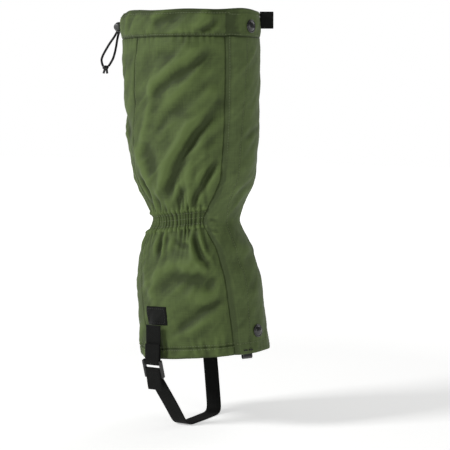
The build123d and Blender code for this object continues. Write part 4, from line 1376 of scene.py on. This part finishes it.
    def build_hems(self) -> None:
        """Top hem with its drawcord channel, and bottom hem with its elastic."""
        form = self.scene.form
        relief = self.scene.relief
        angle, z = self.grid(self.slit, self.hem_end, (BAND_Z, 0.0), (TOP_Z, 0.0), 420, 25)
        share = (z - BAND_Z) / (TOP_Z - BAND_Z)
        z = z + share**2 * self.rim_wave(angle)
        rise = smooth(share / 0.16) * smooth((1 - share) / 0.2)
        inner = -1.2 - self.channel * rise + 0.6 * smooth((share - 0.93) / 0.07)
        band = self.sheet("top_band", "top_hem", (angle, z), self.band_face(share), inner)
        self.declare(band, 0.47, 0.03)

        rows = 14
        low, high = (HEM_Z, HEM_TILT), (HEM_Z + HEM_HEIGHT, HEM_TILT)
        angle, z = self.grid(self.slit, self.hem_end, low, high, 400, rows)
        share = np.linspace(0, 1, rows)[:, None] * np.ones(z.shape)
        rise = smooth(share / 0.2) * smooth((1 - share) / 0.15)
        hem = self.sheet("foot_hem", "bottom_hem", (angle, z), 0.9 * rise - 0.6, -1.6 - 1.2 * rise)
        self.declare(hem, 0.44, 0.0125)

        for share_up, grow in self.band_stitches:
            height = BAND_Z + share_up * (TOP_Z - BAND_Z)
            turn = np.linspace(float(self.slit(height)), float(self.hem_end(height)), 260)
            level = height + share_up**2 * self.rim_wave(turn)
            self.scene.stitcher.add("gaiter", relief.point(turn, level, grow))
        turn = np.linspace(float(self.slit(HEM_Z)), float(self.hem_end(HEM_Z)), 260)
        x = form.point(turn, np.full(turn.shape, HEM_Z), 0.0)[:, 0]
        for up in self.hem_stitches:
            self.scene.stitcher.add("gaiter", relief.point(turn, HEM_Z + up + HEM_TILT * x, 0.35))

    @staticmethod
    def band_face(share: np.ndarray) -> np.ndarray:
        """Offset of the top band's outer face at a share of its height."""
        rise = smooth(share / 0.16) * smooth((1 - share) / 0.2)
        return -0.2 + 1.3 * rise - 0.5 * bell((share - 0.86) / 0.035) - 1.2 * smooth((share - 0.93) / 0.07)

    @staticmethod
    def rim_wave(angle: np.ndarray) -> np.ndarray:
        """Rise and fall of the top edge round the leg."""
        turn = np.radians(angle)
        return 2.6 * np.cos(turn + 1.05) + 0.9 * np.cos(3 * turn + 0.4) + 0.7 * np.cos(7 * turn + 1.9)

    def build_elastics(self) -> None:
        """The elastic sewn inside the ankle, with its rows of stitches, and the one in the foot hem."""
        low = (ELASTIC_Z - ELASTIC_HEIGHT / 2, ELASTIC_TILT)
        high = (ELASTIC_Z + ELASTIC_HEIGHT / 2, ELASTIC_TILT)
        place = self.grid(lambda z: self.facing_edge(z) + 2, lambda z: self.hem_end(z) - 2, low, high,
                          500, 10)
        band = self.sheet("ankle_band", "ankle_elastic", place, -1.1, -2.1, ELASTIC)
        self.declare(band, 0.34, 0.018)
        low = (HEM_Z + self.hem_margin, HEM_TILT)
        high = (HEM_Z + HEM_HEIGHT - self.hem_margin, HEM_TILT)
        place = self.grid(lambda z: self.slit(z) + 1, lambda z: self.hem_end(z) - 1, low, high, 360, 8)
        band = self.sheet("hem_band", "hem_elastic", place, -0.9, -1.9, ELASTIC)
        self.declare(band, 0.44, 0.010)
        turn = np.linspace(26.0, 310.0, 420)
        x = self.scene.form.point(turn, np.full(turn.shape, ELASTIC_Z), 0.0)[:, 0]
        for up in self.elastic_stitches:
            level = ELASTIC_Z + up + ELASTIC_TILT * x
            self.scene.stitcher.add("gaiter", self.scene.relief.point(turn, level, 0.1))

    def build_patches(self) -> None:
        """The two patches over the ends of the stirrup webbing."""
        for name, cad, turn in (("outer_patch", "lateral_patch", -1.0), ("inner_patch", "medial_patch", 1.0)):
            self.build_patch(name, cad, turn)

    def build_patch(self, name: str, cad: str, turn: float) -> None:
        """One patch with turned edges and a box of stitches.

        Args:
            name: The piece's name.
            cad: The frame part that it stands for.
            turn: -1 on the outer side, 1 on the inner side.
        """
        relief = self.scene.relief
        width, height = self.patch_size
        s, t = np.meshgrid(np.linspace(0, 1, 31), np.linspace(0, 1, 23))
        place = self.around(self.spread(s, t), turn)
        edge = np.minimum.reduce([s * width, (1 - s) * width, t * height, (1 - t) * height])
        turned = np.sqrt(1 - np.square(1 - np.clip(edge / 1.4, 0, 1)))
        outer = 0.15 + 1.25 * turned - 0.35 * bell((edge - 3.0) / 0.8)
        order = slice(None, None, -1) if turn > 0 else slice(None)
        angle, z, outer = place[0][:, order], place[1][:, order], outer[:, order]
        uv = np.stack([angle * ARC, z], -1)
        made = shell(name, relief.point(angle, z, outer), relief.point(angle, z, 0.05 + 0 * outer), uv, PATCH)
        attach(made, "gaiter")
        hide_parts(cad)
        self.declare(made, width * MM, height * MM)
        line = self.around(self.spread(*self.box_line(0.09, 0.12)), turn)
        self.scene.stitcher.add("dark", relief.point(*line, 1.35))

    def around(self, flat: np.ndarray, turn: float) -> tuple[np.ndarray, np.ndarray]:
        """Angles and heights of places given by their X and Z on one side of the leg."""
        x, z = flat[..., 0], flat[..., 1]
        centre, length, _ = self.scene.form.section(z)
        return turn * np.degrees(np.arccos(np.clip((x - centre) / length, -1, 1))), z

    def spread(self, s: np.ndarray, t: np.ndarray) -> np.ndarray:
        """Finds places on a patch.

        Args:
            s: Shares of the way to the toe.
            t: Shares of the way up.

        Returns:
            X and Z of each place.
        """
        corners = np.array(self.patch_corners)
        s, t = np.asarray(s)[..., None], np.asarray(t)[..., None]
        low = corners[0] * (1 - s) + corners[1] * s
        high = corners[3] * (1 - s) + corners[2] * s
        return low * (1 - t) + high * t

    @staticmethod
    def box_line(side: float, end: float) -> tuple[np.ndarray, np.ndarray]:
        """Finds the stitched box inside a patch's edges.

        Args:
            side: Share of the width left outside the box.
            end: Share of the height left outside it.

        Returns:
            Shares of the way to the toe and up, along the box.
        """
        s = [side, 1 - side, 1 - side, side, side]
        t = [end, end, 1 - end, 1 - end, end]
        fine = np.linspace(0, 4, 120)
        return np.interp(fine, range(5), s), np.interp(fine, range(5), t)

    def tape_place(self) -> tuple[np.ndarray, np.ndarray]:
        """Angles and heights of the tapes that close the flap on the facing."""
        form = self.scene.form
        low, high = self.tape_heights
        return self.grid(lambda z: form.angle_of_y(TAPE_Y, z), lambda z: form.angle_of_y(tape_edge(z), z),
                         (low, 0.0), (high, 0.0), 16, 150)

    def build(self) -> None:
        """Builds and dresses the whole tube."""
        self.build_panels()
        self.build_hems()
        self.build_elastics()
        self.build_patches()
        strip = self.sheet("loop_strip", "loop_tape", self.tape_place(), 1.0, 0.1, PILE)
        self.declare(strip, 0.037, 0.32)
        dress_nodes(self.scene, {"drawcord_lateral": CORD, "drawcord_medial": CORD,
                                 "cord_eyelet": NICKEL, "stud_top": NICKEL, "stud_foot": NICKEL})


def tape_edge(z: np.ndarray) -> np.ndarray:
    """Side distance of the tapes' free edge at a height."""
    return np.minimum(25.0, Flap.edge_y(z) - 3.0)


def dress_nodes(scene: Scene, finishes: dict[str, Finish]) -> None:
    """Gives kept frame parts their finish.

    Args:
        scene: The shared scene.
        finishes: Finish of each part.
    """
    for name, finish in finishes.items():
        piece = scene.frame["nodes"][name]
        piece.data.materials.clear()
        piece.data.materials.append(WARDROBE.get(plain_of(finish)))


def plain_of(finish: Finish) -> Finish:
    """A finish that reads the piece's own space, for a part without a map."""
    if isinstance(finish, (Woven, Braided)):
        return Finish(finish.name + "_plain", finish.slot, finish.colour, finish.roughness, mottle=0.3,
                      mottle_size=1.6, grain=0.3, grain_size=1.2)
    return finish


# ---------------------------------------------------------------- front flap
@dataclass
class Flap:
    """The front flap, its band, its tape, the snaps and the lace hook."""

    scene: Scene
    leg: Leg
    cloth: float = 1.2
    band_cloth: float = 1.6
    # Height and side distance along the row of stitches that holds the tape.
    tape_stitches: tuple = ((90, -22), (182, -17), (206, -21), (244, -16), (271, -22), (328, -21), (350, -20),
                            (392, -17), (424, -14), (458, -12))
    cap_outline: tuple = ((0, -1.0), (2.0, -1.0), (7.1, -0.2), (7.6, 0.3), (7.6, 0.9), (7.1, 1.35),
                          (6.3, 1.35), (5.9, 1.1), (5.5, 1.25), (5.0, 2.0), (4.0, 2.55), (2.4, 2.85),
                          (0, 2.95))
    tab_root: tuple = (67.72, 29.2, 480.0)
    tab_angle: float = 30.0
    tab_reach: float = 15.2
    tab_half: float = 1.0
    tab_start: float = 0.3

    @staticmethod
    def edge_y(z: np.ndarray) -> np.ndarray:
        """Side distance of the flap's free edge at a height."""
        return np.interp(z, [75, 150, 175, 195, 215, 240, 262, 285, 320, 345, 490],
                         [27, 27, 24, 19, 16, 15, 16, 20, 26, 27, 27])

    def tape_angle(self, z: np.ndarray) -> np.ndarray:
        """Angle of the row of stitches that holds the tape."""
        z_at, y = np.array(self.tape_stitches, float).T
        return self.scene.form.angle_of_y(np.interp(z, z_at, y), z, FLAP_OUT)

    def edge(self, z: np.ndarray) -> np.ndarray:
        """Angle of the flap's free edge at a height."""
        return self.scene.form.angle_of_y(self.edge_y(z), z, FLAP_OUT)

    def root(self, z: np.ndarray) -> np.ndarray:
        """Angle of the flap's sewn edge, tucked under the outer panel's."""
        return self.leg.flap_seam(z) - 0.1

    def offset(self, angle: np.ndarray, level: float) -> np.ndarray:
        """Distance of the outer face from the tube: low at the sewn root, even further on."""
        root, edge = self.leg.side_distance(angle)
        rise = 0.7 + (level - 0.7) * smooth(root / 7.0)
        return rise - 1.3 * bell(root / 0.9) - self.edge_seam(edge)

    @staticmethod
    def edge_seam(edge: np.ndarray) -> np.ndarray:
        """Depth of the stitched line and the turned edge at a distance from the free edge."""
        return 0.4 * bell((edge - 3.4) / 0.8) + 0.5 * bell(edge / 1.0)

    def build_main(self) -> bpy.types.Object:
        """The flap below its band.

        Returns:
            The piece, bound to no body.
        """
        angle, z = self.leg.grid(self.root, self.edge, (HEM_Z, HEM_TILT), (BAND_Z, 0.0), 62, 190)
        foot = z - (HEM_Z + HEM_TILT * self.scene.form.point(angle, z, 0.0)[..., 0])
        outer = self.offset(angle, FLAP_OUT)
        outer = outer - 0.45 * bell((angle - self.tape_angle(z)) * ARC * ARC_SHARE / 0.9)
        outer = outer - 0.35 * bell((foot - 13.0) / 0.9) - 0.9 * bell((BAND_Z - z) / 1.1)
        outer = outer - 0.5 * bell(foot / 1.0)
        inner = outer - self.cloth
        main = self.leg.sheet("flap_cloth", "front_flap", (angle, z), outer, inner, FLAP_SHELL, "")
        self.leg.declare(main, 0.067, 0.38)
        return main

    def build_band(self) -> bpy.types.Object:
        """The flap's band, whose face runs on from the top hem's.

        Returns:
            The piece, bound to no body.
        """
        angle, z = self.leg.grid(self.root, self.edge, (BAND_Z, 0.0), (TOP_Z, 0.0), 62, 22)
        share = (z - BAND_Z) / (TOP_Z - BAND_Z)
        z = z + share**2 * self.leg.rim_wave(angle)
        root, edge = self.leg.side_distance(angle)
        face = FLAP_OUT + 0.4 + 0.6 * bell((share - 0.5) / 0.3) - 0.7 * bell(share / 0.05)
        face = face - 0.5 * bell((share - 0.86) / 0.04) - 0.6 * smooth((share - 0.94) / 0.06)
        face = face - self.edge_seam(edge)
        away = smooth(root / 17.0)
        outer = self.leg.band_face(share) * (1 - away) + face * away
        inner = outer - self.band_cloth
        band = self.leg.sheet("flap_band", "flap_top_band", (angle, z), outer, inner, SHELL, "")
        self.leg.declare(band, 0.067, 0.03)
        return band

    def build_cloth(self) -> None:
        """Main flap, band and stitches, with their placements baked into their meshes."""
        pieces = [self.build_main(), self.build_band()]
        self.stitch_rows()
        threads = self.scene.stitcher.sew("flap", "flap_stitches", THREAD)
        root, free = (0.06, FLAP_SEAM_Y * MM, 0.25), (0.06, FLAP_FREE_Y * MM, 0.25)
        for piece in (*pieces, threads):
            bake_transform(piece)
            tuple(root)
            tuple(free)

    def stitch_rows(self) -> None:
        """Rows along the root, the tape, the free edge and the hems."""
        relief = self.scene.relief
        form = self.scene.form
        z = np.arange(HEM_Z + 14.0, TOP_Z - 3, 2.0)
        below = z[z < BAND_Z]
        rows = (
            (form.angle_of_y(FLAP_SEAM_Y + 2.6, below, 1.0), below, 2.2),
            (self.tape_angle(z), z, FLAP_OUT - 0.2),
            (self.edge(z) - 3.2, z, FLAP_OUT - 0.1),
        )
        for row in rows:
            self.scene.stitcher.add("flap", relief.point(*row))
        for level, tilt in ((HEM_Z + 13.0, HEM_TILT), (BAND_Z + 2.0, 0.0), (TOP_Z - 4.0, 0.0)):
            angle = np.linspace(float(self.root(level)) + 3.0, float(self.edge(level)) - 2.0, 40)
            x = form.point(angle, np.full(angle.shape, level), 0.0)[:, 0]
            self.scene.stitcher.add("flap", relief.point(angle, level + tilt * x, FLAP_OUT + 0.1))

    def build_snap(self, name: str, cad: str, place: tuple[float, float], seat: float) -> None:
        """Domed snap cap with a rolled rim and a ring turned in its top.

        Args:
            name: The piece's name.
            cad: The frame part that it stands for.
            place: Its distance to the side and its height.
            seat: Distance of its seat from the tube.
        """
        angle = float(self.scene.form.angle_of_y(*place, FLAP_OUT))
        seated = self.scene.relief.frame(angle, place[1], seat)
        cap = lathe(name, self.cap_outline, seated, ENAMEL, 48)
        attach(cap, "flap")
        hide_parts(cad)

    def build_tab(self) -> None:
        """Folded webbing tab beyond the band's free edge."""
        turn = math.radians(self.tab_angle)
        along = np.array([math.cos(turn), math.sin(turn), 0.0])
        side = np.array([-math.sin(turn), math.cos(turn), 0.0])
        root, reach, half = np.array(self.tab_root), self.tab_reach, self.tab_half
        points = [root + along * (x - self.tab_start) + side * half for x in np.linspace(0, reach, 9)]
        points += [root + along * (reach - half + half * math.cos(a)) + side * half * math.sin(a)
                   for a in np.radians(np.linspace(75, -75, 7))]
        points += [root + along * (x - self.tab_start) - side * half for x in np.linspace(reach, 0, 9)]
        path = np.array(points)
        tab = sweep("pull_loop", path, np.tile([0.0, 0.0, 1.0], (len(path), 1)), 20.0, 1.3, WEBBING)
        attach(tab, "tab")
        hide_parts("pull_tab")

    def build(self) -> None:
        """Builds and dresses the flap."""
        self.build_cloth()
        strip = self.leg.sheet("hook_strip", "hook_tape", self.leg.tape_place(), 2.5, 1.6, PILE, "flap")
        self.leg.declare(strip, 0.037, 0.32)
        self.build_snap("snap_cap_top", "cap_top", SNAP_TOP, 4.6)
        self.build_snap("snap_cap_foot", "cap_foot", SNAP_FOOT, 4.1)
        self.build_tab()
        dress_nodes(self.scene, {"socket_top": NICKEL, "socket_foot": NICKEL, "lace_hook": ENAMEL})


# ---------------------------------------------------------------- stirrup
@dataclass
class Stirrup:
    """Keeper webbing, ladder lock and instep strap."""

    scene: Scene
    strap_x: float = -24.0
    keeper_y: float = 64.4
    bar_y: float = -66.85
    bar_z: float = 77.0
    web: float = 1.4
    width: float = 20.0
    lean: float = 18.0
    top_z: float = 121.0
    bar_loop: float = 1.85
    middle_bar: float = 10.0

    def lean_point(self, up: float, out: float) -> np.ndarray:
        """Place in the buckle's own leaning frame, so far up it and inside it."""
        lean = math.radians(self.lean)
        y = self.bar_y - up * math.sin(lean) - out * math.cos(lean)
        return np.array([self.strap_x, y, self.bar_z + up * math.cos(lean) - out * math.sin(lean)])

    def strap(self, name: str, cad: str, path: np.ndarray,
              across: np.ndarray | None = None) -> bpy.types.Object:
        """Makes a length of webbing, not yet bound to a body.

        Args:
            name: The piece's name.
            cad: The frame part that it stands for.
            path: Middle of the webbing.
            across: Direction of its width at each point, or along X if left out.

        Returns:
            The piece.
        """
        if across is None:
            across = np.tile([1.0, 0.0, 0.0], (len(path), 1))
        made = sweep(name, path, across, self.width, self.web, WEBBING)
        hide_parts(cad)
        return made

    def build_keeper(self) -> None:
        """Webbing from the patch round the lock's top bar."""
        loop = self.bar_loop + self.web / 2
        points = [(self.bar_y + loop, z) for z in np.linspace(self.top_z, self.bar_z, 18)]
        points += [(self.bar_y + loop * math.cos(a), self.bar_z + loop * math.sin(a))
                   for a in np.radians(np.linspace(-15, -165, 13))]
        points += [(self.bar_y - loop, self.bar_z)]
        points += [(self.bar_y + loop - 2.9 * (1 - smooth(t)) - 2.1 * smooth(t), self.bar_z + 22 * t)
                   for t in np.linspace(0.12, 1, 10)]
        path = smooth_line(np.array([(self.strap_x, y, z) for y, z in points]), 70)
        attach(self.strap("keeper_web", "keeper_webbing", path), "stirrup")

    def build_strap(self) -> None:
        """Sling from the lock, under the sole and up the inner side."""
        top = self.lean_point(-24.8, -2.55)
        sole = -top[1] - (top[2] + self.web / 2) * math.tan(math.radians(self.lean))
        inner_y = self.keeper_y + self.web / 2
        route = np.array([
            (self.strap_x, top[1], top[2]),
            (self.strap_x * 0.4, (top[1] * 0.45 - sole * 0.55), top[2] * 0.42),
            (-1.0, -sole, -self.web / 2),
            (0.0, 0.0, -self.web / 2),
            (-1.0, sole, -self.web / 2),
            (self.strap_x * 0.5, (sole + self.keeper_y) / 2, self.bar_z * 0.5),
            (self.strap_x, inner_y, self.bar_z),
            (self.strap_x, inner_y, self.top_z),
        ])
        path = smooth_line(route, 160)
        path[:, 2] = np.maximum(path[:, 2], -self.web / 2)
        tangent = np.gradient(path, axis=0)
        tangent /= np.linalg.norm(tangent, axis=1)[:, None]
        across = np.array([1.0, 0.0, 0.0]) - tangent * tangent[:, :1]
        strap = self.strap("sling_web", "instep_strap", path, across)
        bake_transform(strap)

    def build_tail(self) -> None:
        """Strap end that passes over the lock's middle bar and hangs outside."""
        gap = self.bar_loop + self.web / 2
        bar = -self.middle_bar
        points = [(-gap, up) for up in np.linspace(-25.5, bar, 10)]
        points += [(gap * math.cos(a), bar + gap * math.sin(a)) for a in np.radians(np.linspace(165, 15, 13))]
        points += [(gap + 1.6 * smooth((bar - up) / 24), up) for up in np.linspace(bar, -34.0, 14)]
        path = smooth_line(np.array([self.lean_point(up, out) for out, up in points]), 60)
        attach(self.strap("tail_web", "strap_tail", path), "buckle")

    def build(self) -> None:
        """Builds and dresses the stirrup."""
        self.build_keeper()
        self.build_strap()
        self.build_tail()
        dress_nodes(self.scene, {"ladder_lock": ACETAL})


# ---------------------------------------------------------------- drawcord tail
@dataclass
class CordTail:
    """The drawcord's two free strands, their knot and the spring lock on them."""

    scene: Scene
    diameter: float = 2.8
    exit_y: float = -6.0
    outer: tuple = ((-99.7, 479.0), (-102.6, 478.6), (-110.6, 470.4), (-116.0, 462.5), (-122.5, 455.5),
                    (-128.0, 448.0), (-133.0, 441.0), (-136.0, 434.0), (-132.8, 427.6))
    inner: tuple = ((-99.7, 479.0), (-102.6, 478.6), (-110.2, 470.8), (-113.4, 461.5), (-115.2, 452.0),
                    (-117.6, 443.0), (-121.0, 434.5), (-126.6, 428.0))
    knot: tuple = (-130.0, 426.0)
    lock: tuple = (-106.6, 474.6)
    # Radius and distance along the lock's axis. The button stops short of the barrel's floor.
    barrel: tuple = ((0, -2.8), (4.7, -2.8), (4.7, -6.2), (5.4, -6.5), (6.1, -6.1), (6.3, -5.0), (6.0, -3.4),
                     (6.0, 6.0), (6.3, 7.2), (6.1, 8.6), (5.2, 9.3), (3.0, 9.6), (0, 9.7))
    button: tuple = ((0, -10.7), (2.6, -10.7), (4.0, -10.3), (4.4, -9.4), (4.4, -5.2), (0, -5.2))
    strand_side: float = 1.7

    def strand(self, name: str, cad: str, route: tuple, y: float) -> bpy.types.Object:
        """Makes one strand on a smooth curve from the eyelet to the knot.

        Args:
            name: The piece's name.
            cad: The frame part that it stands for.
            route: X and Z of its points.
            y: Its distance to the side.

        Returns:
            The piece.
        """
        curve = bpy.data.curves.new(name, "CURVE")
        curve.dimensions = "3D"
        curve.bevel_depth = self.diameter / 2 * MM
        curve.bevel_resolution = 4
        curve.use_fill_caps = True
        spline = curve.splines.new("NURBS")
        spline.points.add(len(route) - 1)
        for point, (x, z) in zip(spline.points, route):
            point.co = (x * MM, y * MM, z * MM, 1.0)
        spline.order_u = 3
        spline.use_endpoint_u = True
        spline.resolution_u = 8
        made = new_object(name, curve, WARDROBE.get(CORD))
        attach(made, "cord_tail")
        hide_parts(cad)
        LOG.info("%s: %d points", name, len(route))
        return made

    def build_knot(self) -> bpy.types.Object:
        """Makes the overhand knot tied in both strands, with two trimmed ends.

        Returns:
            The piece.
        """
        centre = np.array([self.knot[0], self.exit_y, self.knot[1]])
        t = np.linspace(0, 2 * math.pi, 64, endpoint=False)
        lobes = np.stack([
            (1.9 + 0.9 * np.cos(3 * t)) * np.cos(2 * t),
            (1.9 + 0.9 * np.cos(3 * t)) * np.sin(2 * t),
            1.2 * np.sin(3 * t),
        ], -1)
        knot = self.tube_mesh(lobes + centre, True)
        ends = []
        for side in (-1.0, 1.0):
            first = centre + np.array([0.5 * side, 1.2 * side, -2.0])
            last = centre + np.array([1.4 * side - 0.6, 2.0 * side, -7.4])
            ends.append(self.tube_mesh(np.linspace(first, last, 6), False))
        points, faces, uv = knot
        for more, quads, where in ends:
            faces = faces + [[i + len(points) for i in quad] for quad in quads]
            points, uv = np.concatenate([points, more]), np.concatenate([uv, where])
        made = mesh_object("end_knot", points, faces, plain_of(CORD))
        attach(made, "cord_tail")
        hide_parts("cord_knot")
        return made

    def tube_mesh(self, path: np.ndarray, closed: bool) -> tuple[np.ndarray, list, np.ndarray]:
        """Round tube of the cord's thickness along a path.

        Args:
            path: Middle of the tube.
            closed: True if its end meets its start.

        Returns:
            Points, faces and the place of each point on the map.
        """
        sides = 12
        if closed:
            tangent = np.roll(path, -1, axis=0) - np.roll(path, 1, axis=0)
        else:
            tangent = np.gradient(path, axis=0)
        tangent /= np.linalg.norm(tangent, axis=1)[:, None]
        normal = np.cross(tangent, [0.31, 0.87, 0.37])
        normal /= np.linalg.norm(normal, axis=1)[:, None]
        other = np.cross(tangent, normal)
        a = np.linspace(0, 2 * math.pi, sides, endpoint=False)[None, :, None]
        ring = path[:, None] + self.diameter / 2 * (np.cos(a) * normal[:, None] + np.sin(a) * other[:, None])
        index = np.arange(len(path) * sides).reshape(len(path), sides)
        around = np.roll(index, -1, axis=1)
        after, after_around = np.roll(index, -1, axis=0), np.roll(around, -1, axis=0)
        last = len(path) if closed else len(path) - 1
        corners = [index[:last], around[:last], after_around[:last], after[:last]]
        faces = np.stack(corners, -1).reshape(-1, 4).tolist()
        if not closed:
            faces += [index[0, ::-1].tolist(), index[-1].tolist()]
        along, round_it = np.linspace(0, 60, len(path))[:, None], np.linspace(0, 8, sides)[None, :]
        uv = np.stack(np.broadcast_arrays(along, round_it), -1)
        return ring.reshape(-1, 3), faces, uv.reshape(-1, 2)

    def build_lock(self) -> None:
        """Spring lock: a barrel with a waist, and its push button."""
        centre = np.array([self.lock[0], self.exit_y, self.lock[1]])
        place = (centre, np.array([1.0, 0, 0]), np.array([0, 0, 1.0]), np.array([0, 1.0, 0]))
        body = lathe("lock_body", self.barrel, place, LOCK_ACETAL, 40)
        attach(body, "cord_lock")
        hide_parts("lock_barrel")
        plunger = lathe("lock_button", self.button, place, LOCK_ACETAL, 36)
        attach(plunger, "plunger")
        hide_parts("lock_plunger")

    def build(self) -> None:
        """Builds and dresses the cord's free end."""
        knot = self.build_knot()
        side = self.strand_side
        self.strand("strand_outer", "cord_tail_outer", self.outer, self.exit_y - side)
        self.strand("strand_inner", "cord_tail_inner", self.inner, self.exit_y + side)
        self.build_lock()
        dress_nodes(self.scene, {"lock_spring": SPRING})


# ---------------------------------------------------------------- studio
@dataclass
class Studio:
    """Camera, pale floor and soft lights."""

    eye: tuple = (0.852, -1.413, 0.386)
    aim: tuple = (0.0275, 0.0159, 0.236)
    lens: float = 110.0
    ambient: float = 0.2
    floor_reach: float = 6.0
    floor_z: float = -0.0015

    def set_camera(self) -> None:
        """Camera at standing distance, a long lens and no blur."""
        camera = new_object("camera", bpy.data.cameras.new("camera"))
        camera.data.lens = self.lens
        camera.data.sensor_width = 36.0
        camera.location = self.eye
        camera.rotation_euler = (Vector(self.aim) - Vector(self.eye)).to_track_quat("-Z", "Y").to_euler()
        bpy.context.scene.camera = camera

    @staticmethod
    def lamp(name: str, place: tuple, aim: tuple, size: float, power: float) -> None:
        """Adds one square soft light.

        Args:
            name: The light's name.
            place: Where it stands, in metres.
            aim: What it points at.
            size: Its side.
            power: Its power, in watts.
        """
        light = bpy.data.lights.new(name, "AREA")
        light.size = size
        light.energy = power
        made = new_object(name, light)
        made.location = place
        made.rotation_euler = (Vector(aim) - Vector(place)).to_track_quat("-Z", "Y").to_euler()

    def build(self) -> None:
        """Floor, world and lamps."""
        floor = bpy.data.meshes.new("floor")
        far, low = self.floor_reach, self.floor_z
        corners = [(-far, -far, low), (far, -far, low), (far, far, low), (-far, far, low)]
        floor.from_pydata(corners, [], [(0, 1, 2, 3)])
        paper = Finish("pale_seamless_paper", "", "F4F4F3", roughness=0.9, mottle=0.01, mottle_size=200.0,
                       grain=0.01, grain_size=4.0)
        sweep_paper = WARDROBE.get(paper)
        shader = sweep_paper.node_tree.nodes["Principled BSDF"]
        shader.inputs["Emission Color"].default_value = (1, 1, 1, 1)
        place = node(sweep_paper.node_tree, "ShaderNodeTexCoord").outputs["Object"]
        away = node(sweep_paper.node_tree, "ShaderNodeVectorMath", {"operation": "LENGTH"}, {0: place})
        glow = node(sweep_paper.node_tree, "ShaderNodeMapRange", {
            "From Min": 0.5, "From Max": 2.6, "To Min": 0.42, "To Max": 1.0,
        }, {"Value": away.outputs["Value"]})
        sweep_paper.node_tree.links.new(glow.outputs[0], shader.inputs["Emission Strength"])
        new_object("floor", floor, sweep_paper)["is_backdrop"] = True
        world = bpy.data.worlds.new("studio")
        world.use_nodes = True
        tree = world.node_tree
        seen = node(tree, "ShaderNodeLightPath").outputs["Is Camera Ray"]
        strength = node(tree, "ShaderNodeMapRange", {"To Min": self.ambient, "To Max": 1.0}, {"Value": seen})
        tree.nodes["Background"].inputs[0].default_value = (1, 1, 1, 1)
        tree.links.new(strength.outputs[0], tree.nodes["Background"].inputs[1])
        bpy.context.scene.world = world
        bpy.context.scene.view_settings.view_transform = "Standard"
        self.lamp("key", (-1.15, -1.35, 1.35), (0, 0, 0.25), 0.5, 29.0)
        self.lamp("fill", (1.7, -0.9, 0.6), (0, 0, 0.25), 1.2, 7.0)
        self.lamp("back", (0.3, 1.6, 1.4), (0, 0, 0.3), 1.2, 8.0)


def main() -> None:
    """Builds every sub-assembly."""
    logging.basicConfig(level=logging.INFO, format="%(name)s %(message)s")
    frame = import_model()
    cad_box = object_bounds()
    studio = Studio()
    studio.set_camera()
    scene = Scene(frame, Relief(LegForm()), Stitcher())
    CordTail(scene).build()
    leg = Leg(scene)
    leg.build()
    Flap(scene, leg).build()
    Stirrup(scene).build()
    for group, name, finish in (("gaiter", "leg_stitches", THREAD), ("dark", "patch_stitches", DARK_THREAD)):
        threads = scene.stitcher.sew(group, name, finish)
        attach(threads, "gaiter")
    studio.build()
    sizes = [[list(map(float, corner)) for corner in box] for box in (cad_box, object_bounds())]


if __name__ == "__main__":
    main()
